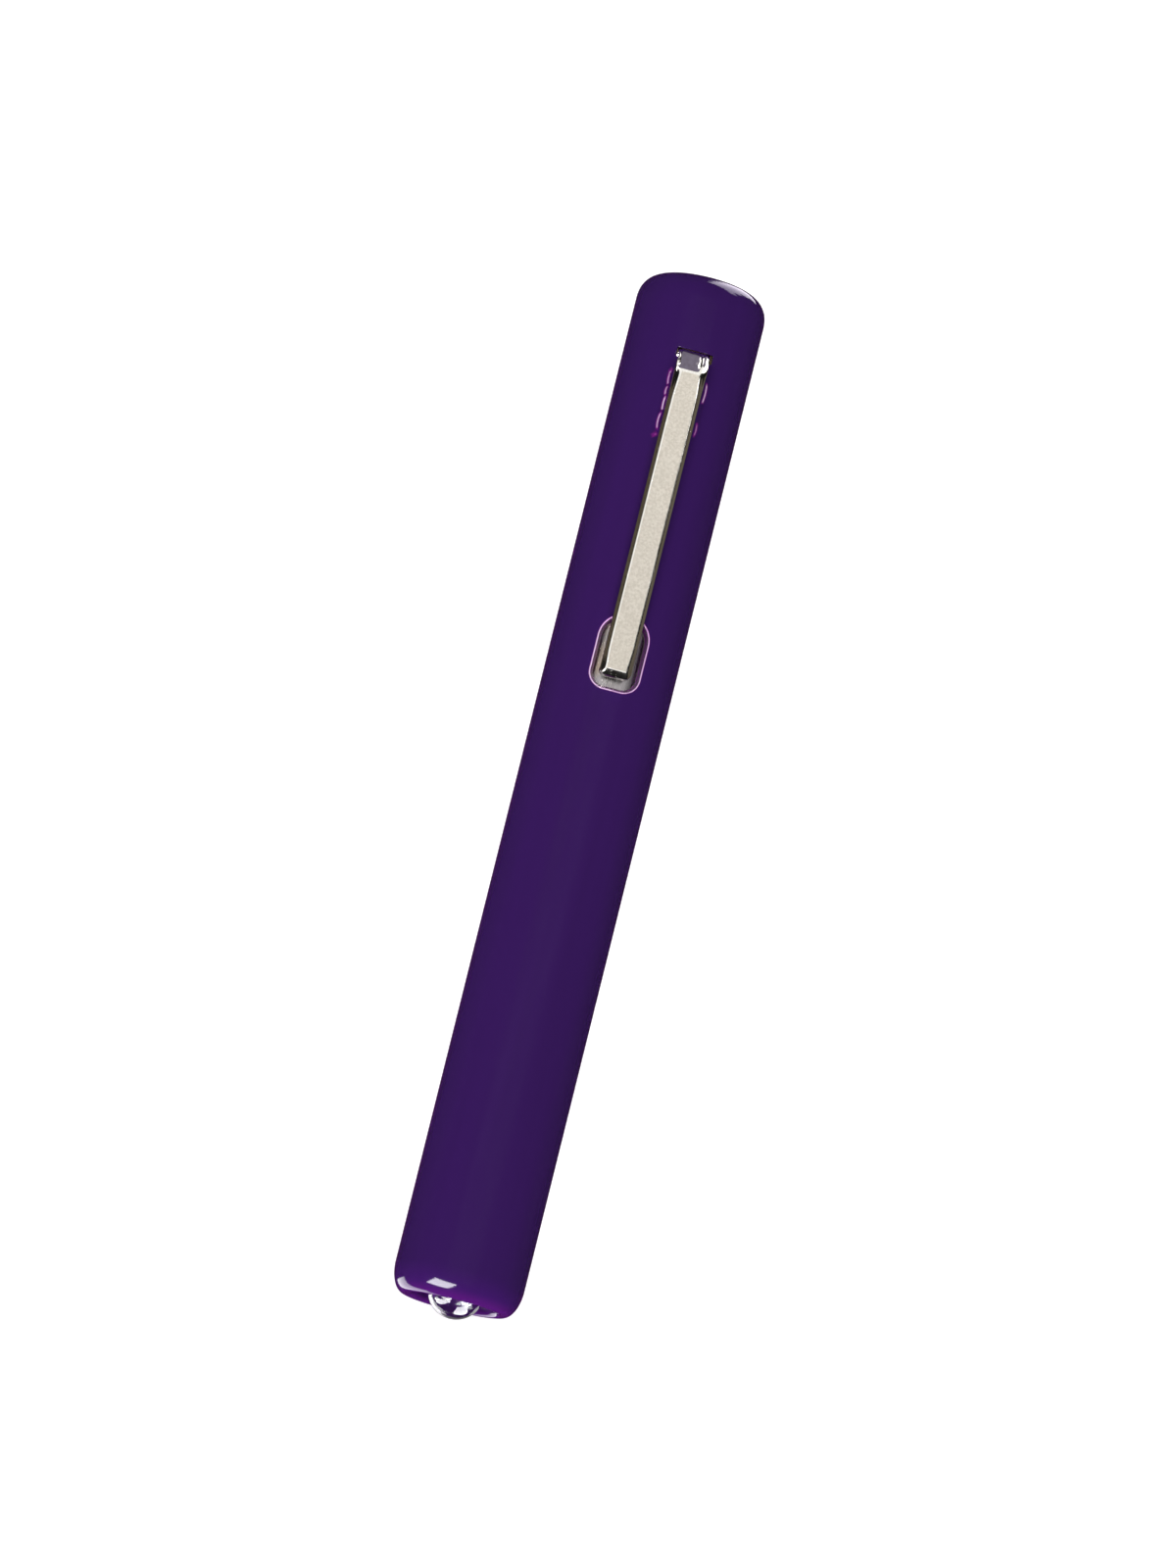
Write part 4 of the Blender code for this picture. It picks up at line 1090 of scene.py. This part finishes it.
# The same for the highlight on the dome, with strips of several lengths, so that it has the notch of the
# photograph.
DOME_TOWARDS, DOME_ALONG = (0.386, 0.785, -0.484), Vector((0.78, 0.002, 0.625))
DOME_START, DOME_STEP = Vector((-0.161, 0.126, 0.075)), Vector((0.0164, -0.065, -0.0925))
DOME_STRIP = 0.105
for strip, reach in enumerate((0.37, 0.29, 0.25, 0.25)):
    anchor = DOME_END + (DOME_START + DOME_STEP * strip + DOME_ALONG * (reach / 2))
    size = (reach, DOME_STRIP)
    add_card(f"dome_strip_{strip}", anchor, DOME_TOWARDS, 0.5, size, 4.0, DOME_ALONG, CASING, colour=LAVENDER)
# Reflections on the metal: the satin face, the strip in the window, the bend, then the turned-down sides.
add_card("metal_top", MIDDLE, (-0.38, 0.16, 0.92), 0.8, (1.1, 1.1), 1.1, Y, CLIP)
add_card("strip_top", MIDDLE, (0.0, 0.14, 0.99), 0.8, (0.8, 1.1), 1.02, Y, STRIP, colour=ROSE_WHITE)
add_card("bend_back", DOME_END, direction(0, 12), 0.5, (0.68, 0.6), 0.24, Z, CLIP, colour=LILAC)
add_card("bend_side", DOME_END, direction(54, 32), 0.45, (0.5, 0.18), 4.0, Z, CLIP)
add_card("bend_right", DOME_END, direction(33, 2), 0.5, (0.40, 0.11), 3.5, (0.15, 0, 1), CLIP)
add_card("bend_left", DOME_END, direction(-35, 6), 0.5, (0.38, 0.11), 3.0, Z, CLIP)
add_card("bend_top", DOME_END, direction(48, 58), 0.45, (0.2, 0.2), 2.2, X, CLIP)
add_card("clip_left", MIDDLE, (-1, 0, -0.22), 0.5, (0.8, 0.3), 0.085, Y, METAL, colour=AMBER)
add_card("clip_right", MIDDLE, (1, 0, -0.22), 0.5, (0.8, 0.3), 0.12, Y, METAL, colour=SAND)
# The facets seen in the lens.
add_card("lens_square", LENS_END, (0.41, -0.76, -0.08), 0.5, (0.40, 0.34), 16.0, (0.195, 0.045, 0.715), LENS)
add_card("lens_right", LENS_END, (0.66, -0.60, 0.30), 0.5, (0.42, 0.08), 18.0, (0.42, 0.18, -0.57), LENS)
add_card("lens_left", LENS_END, (-0.58, -0.72, 0.12), 0.5, (0.62, 0.15), 17.0, (0.43, -0.39, 1.2), LENS)
add_card("lens_low", LENS_END, (-0.42, -0.30, -0.86), 0.4, (0.30, 0.26), 3.4, (1, -1, 0), LENS)
add_card("lens_grey", LENS_END, (0.20, -0.32, -0.93), 0.4, (0.34, 0.22), 0.5, (1, 1, 0), LENS)
add_card("lens_side", LENS_END, (0.62, -0.15, -0.77), 0.4, (0.2, 0.14), 1.5, Y, LENS)

world = bpy.data.worlds.new("studio")
bpy.context.scene.world = world
world.use_nodes = True
background = world.node_tree.nodes["Background"]
background.inputs["Color"].default_value = (1, 1, 1, 1)
background.inputs["Strength"].default_value = 0.008

# The camera stands over the barrel, tilted towards the lens end, swung to the left and rolled, and its picture
# is shifted a little, up and to the right, against the barrel's middle.
CAMERA_DISTANCE, CAMERA_LENS, SENSOR_WIDTH = 1.28, 287.0, 36.0
CLIP_NEAR, CLIP_FAR = 0.05, 20.0
TILT, SWING, ROLL = math.radians(9.0), math.radians(4.6), math.radians(13.98)
SHIFT_UP, SHIFT_RIGHT = 0.0030, 0.0002

camera_data = bpy.data.cameras.new("camera")
camera_data.sensor_width = SENSOR_WIDTH
camera_data.lens = CAMERA_LENS
camera_data.clip_start, camera_data.clip_end = CLIP_NEAR, CLIP_FAR
camera = bpy.data.objects.new("camera", camera_data)
bpy.context.scene.collection.objects.link(camera)
bpy.context.scene.camera = camera
back = Vector((-math.sin(SWING) * math.cos(TILT), -math.sin(TILT), math.cos(SWING) * math.cos(TILT)))
barrel = Vector((0, 1, 0))
up_flat = (barrel - back * barrel.dot(back)).normalized()
right_flat = up_flat.cross(back)
image_up = up_flat * math.cos(ROLL) - right_flat * math.sin(ROLL)
image_right = image_up.cross(back)
look_at = MIDDLE - image_up * SHIFT_UP - image_right * SHIFT_RIGHT
camera.location = look_at + back * CAMERA_DISTANCE
camera.rotation_mode = "QUATERNION"
camera.rotation_quaternion = Matrix((image_right, image_up, back)).transposed().to_quaternion()

bpy.context.scene.view_settings.view_transform = "Standard"
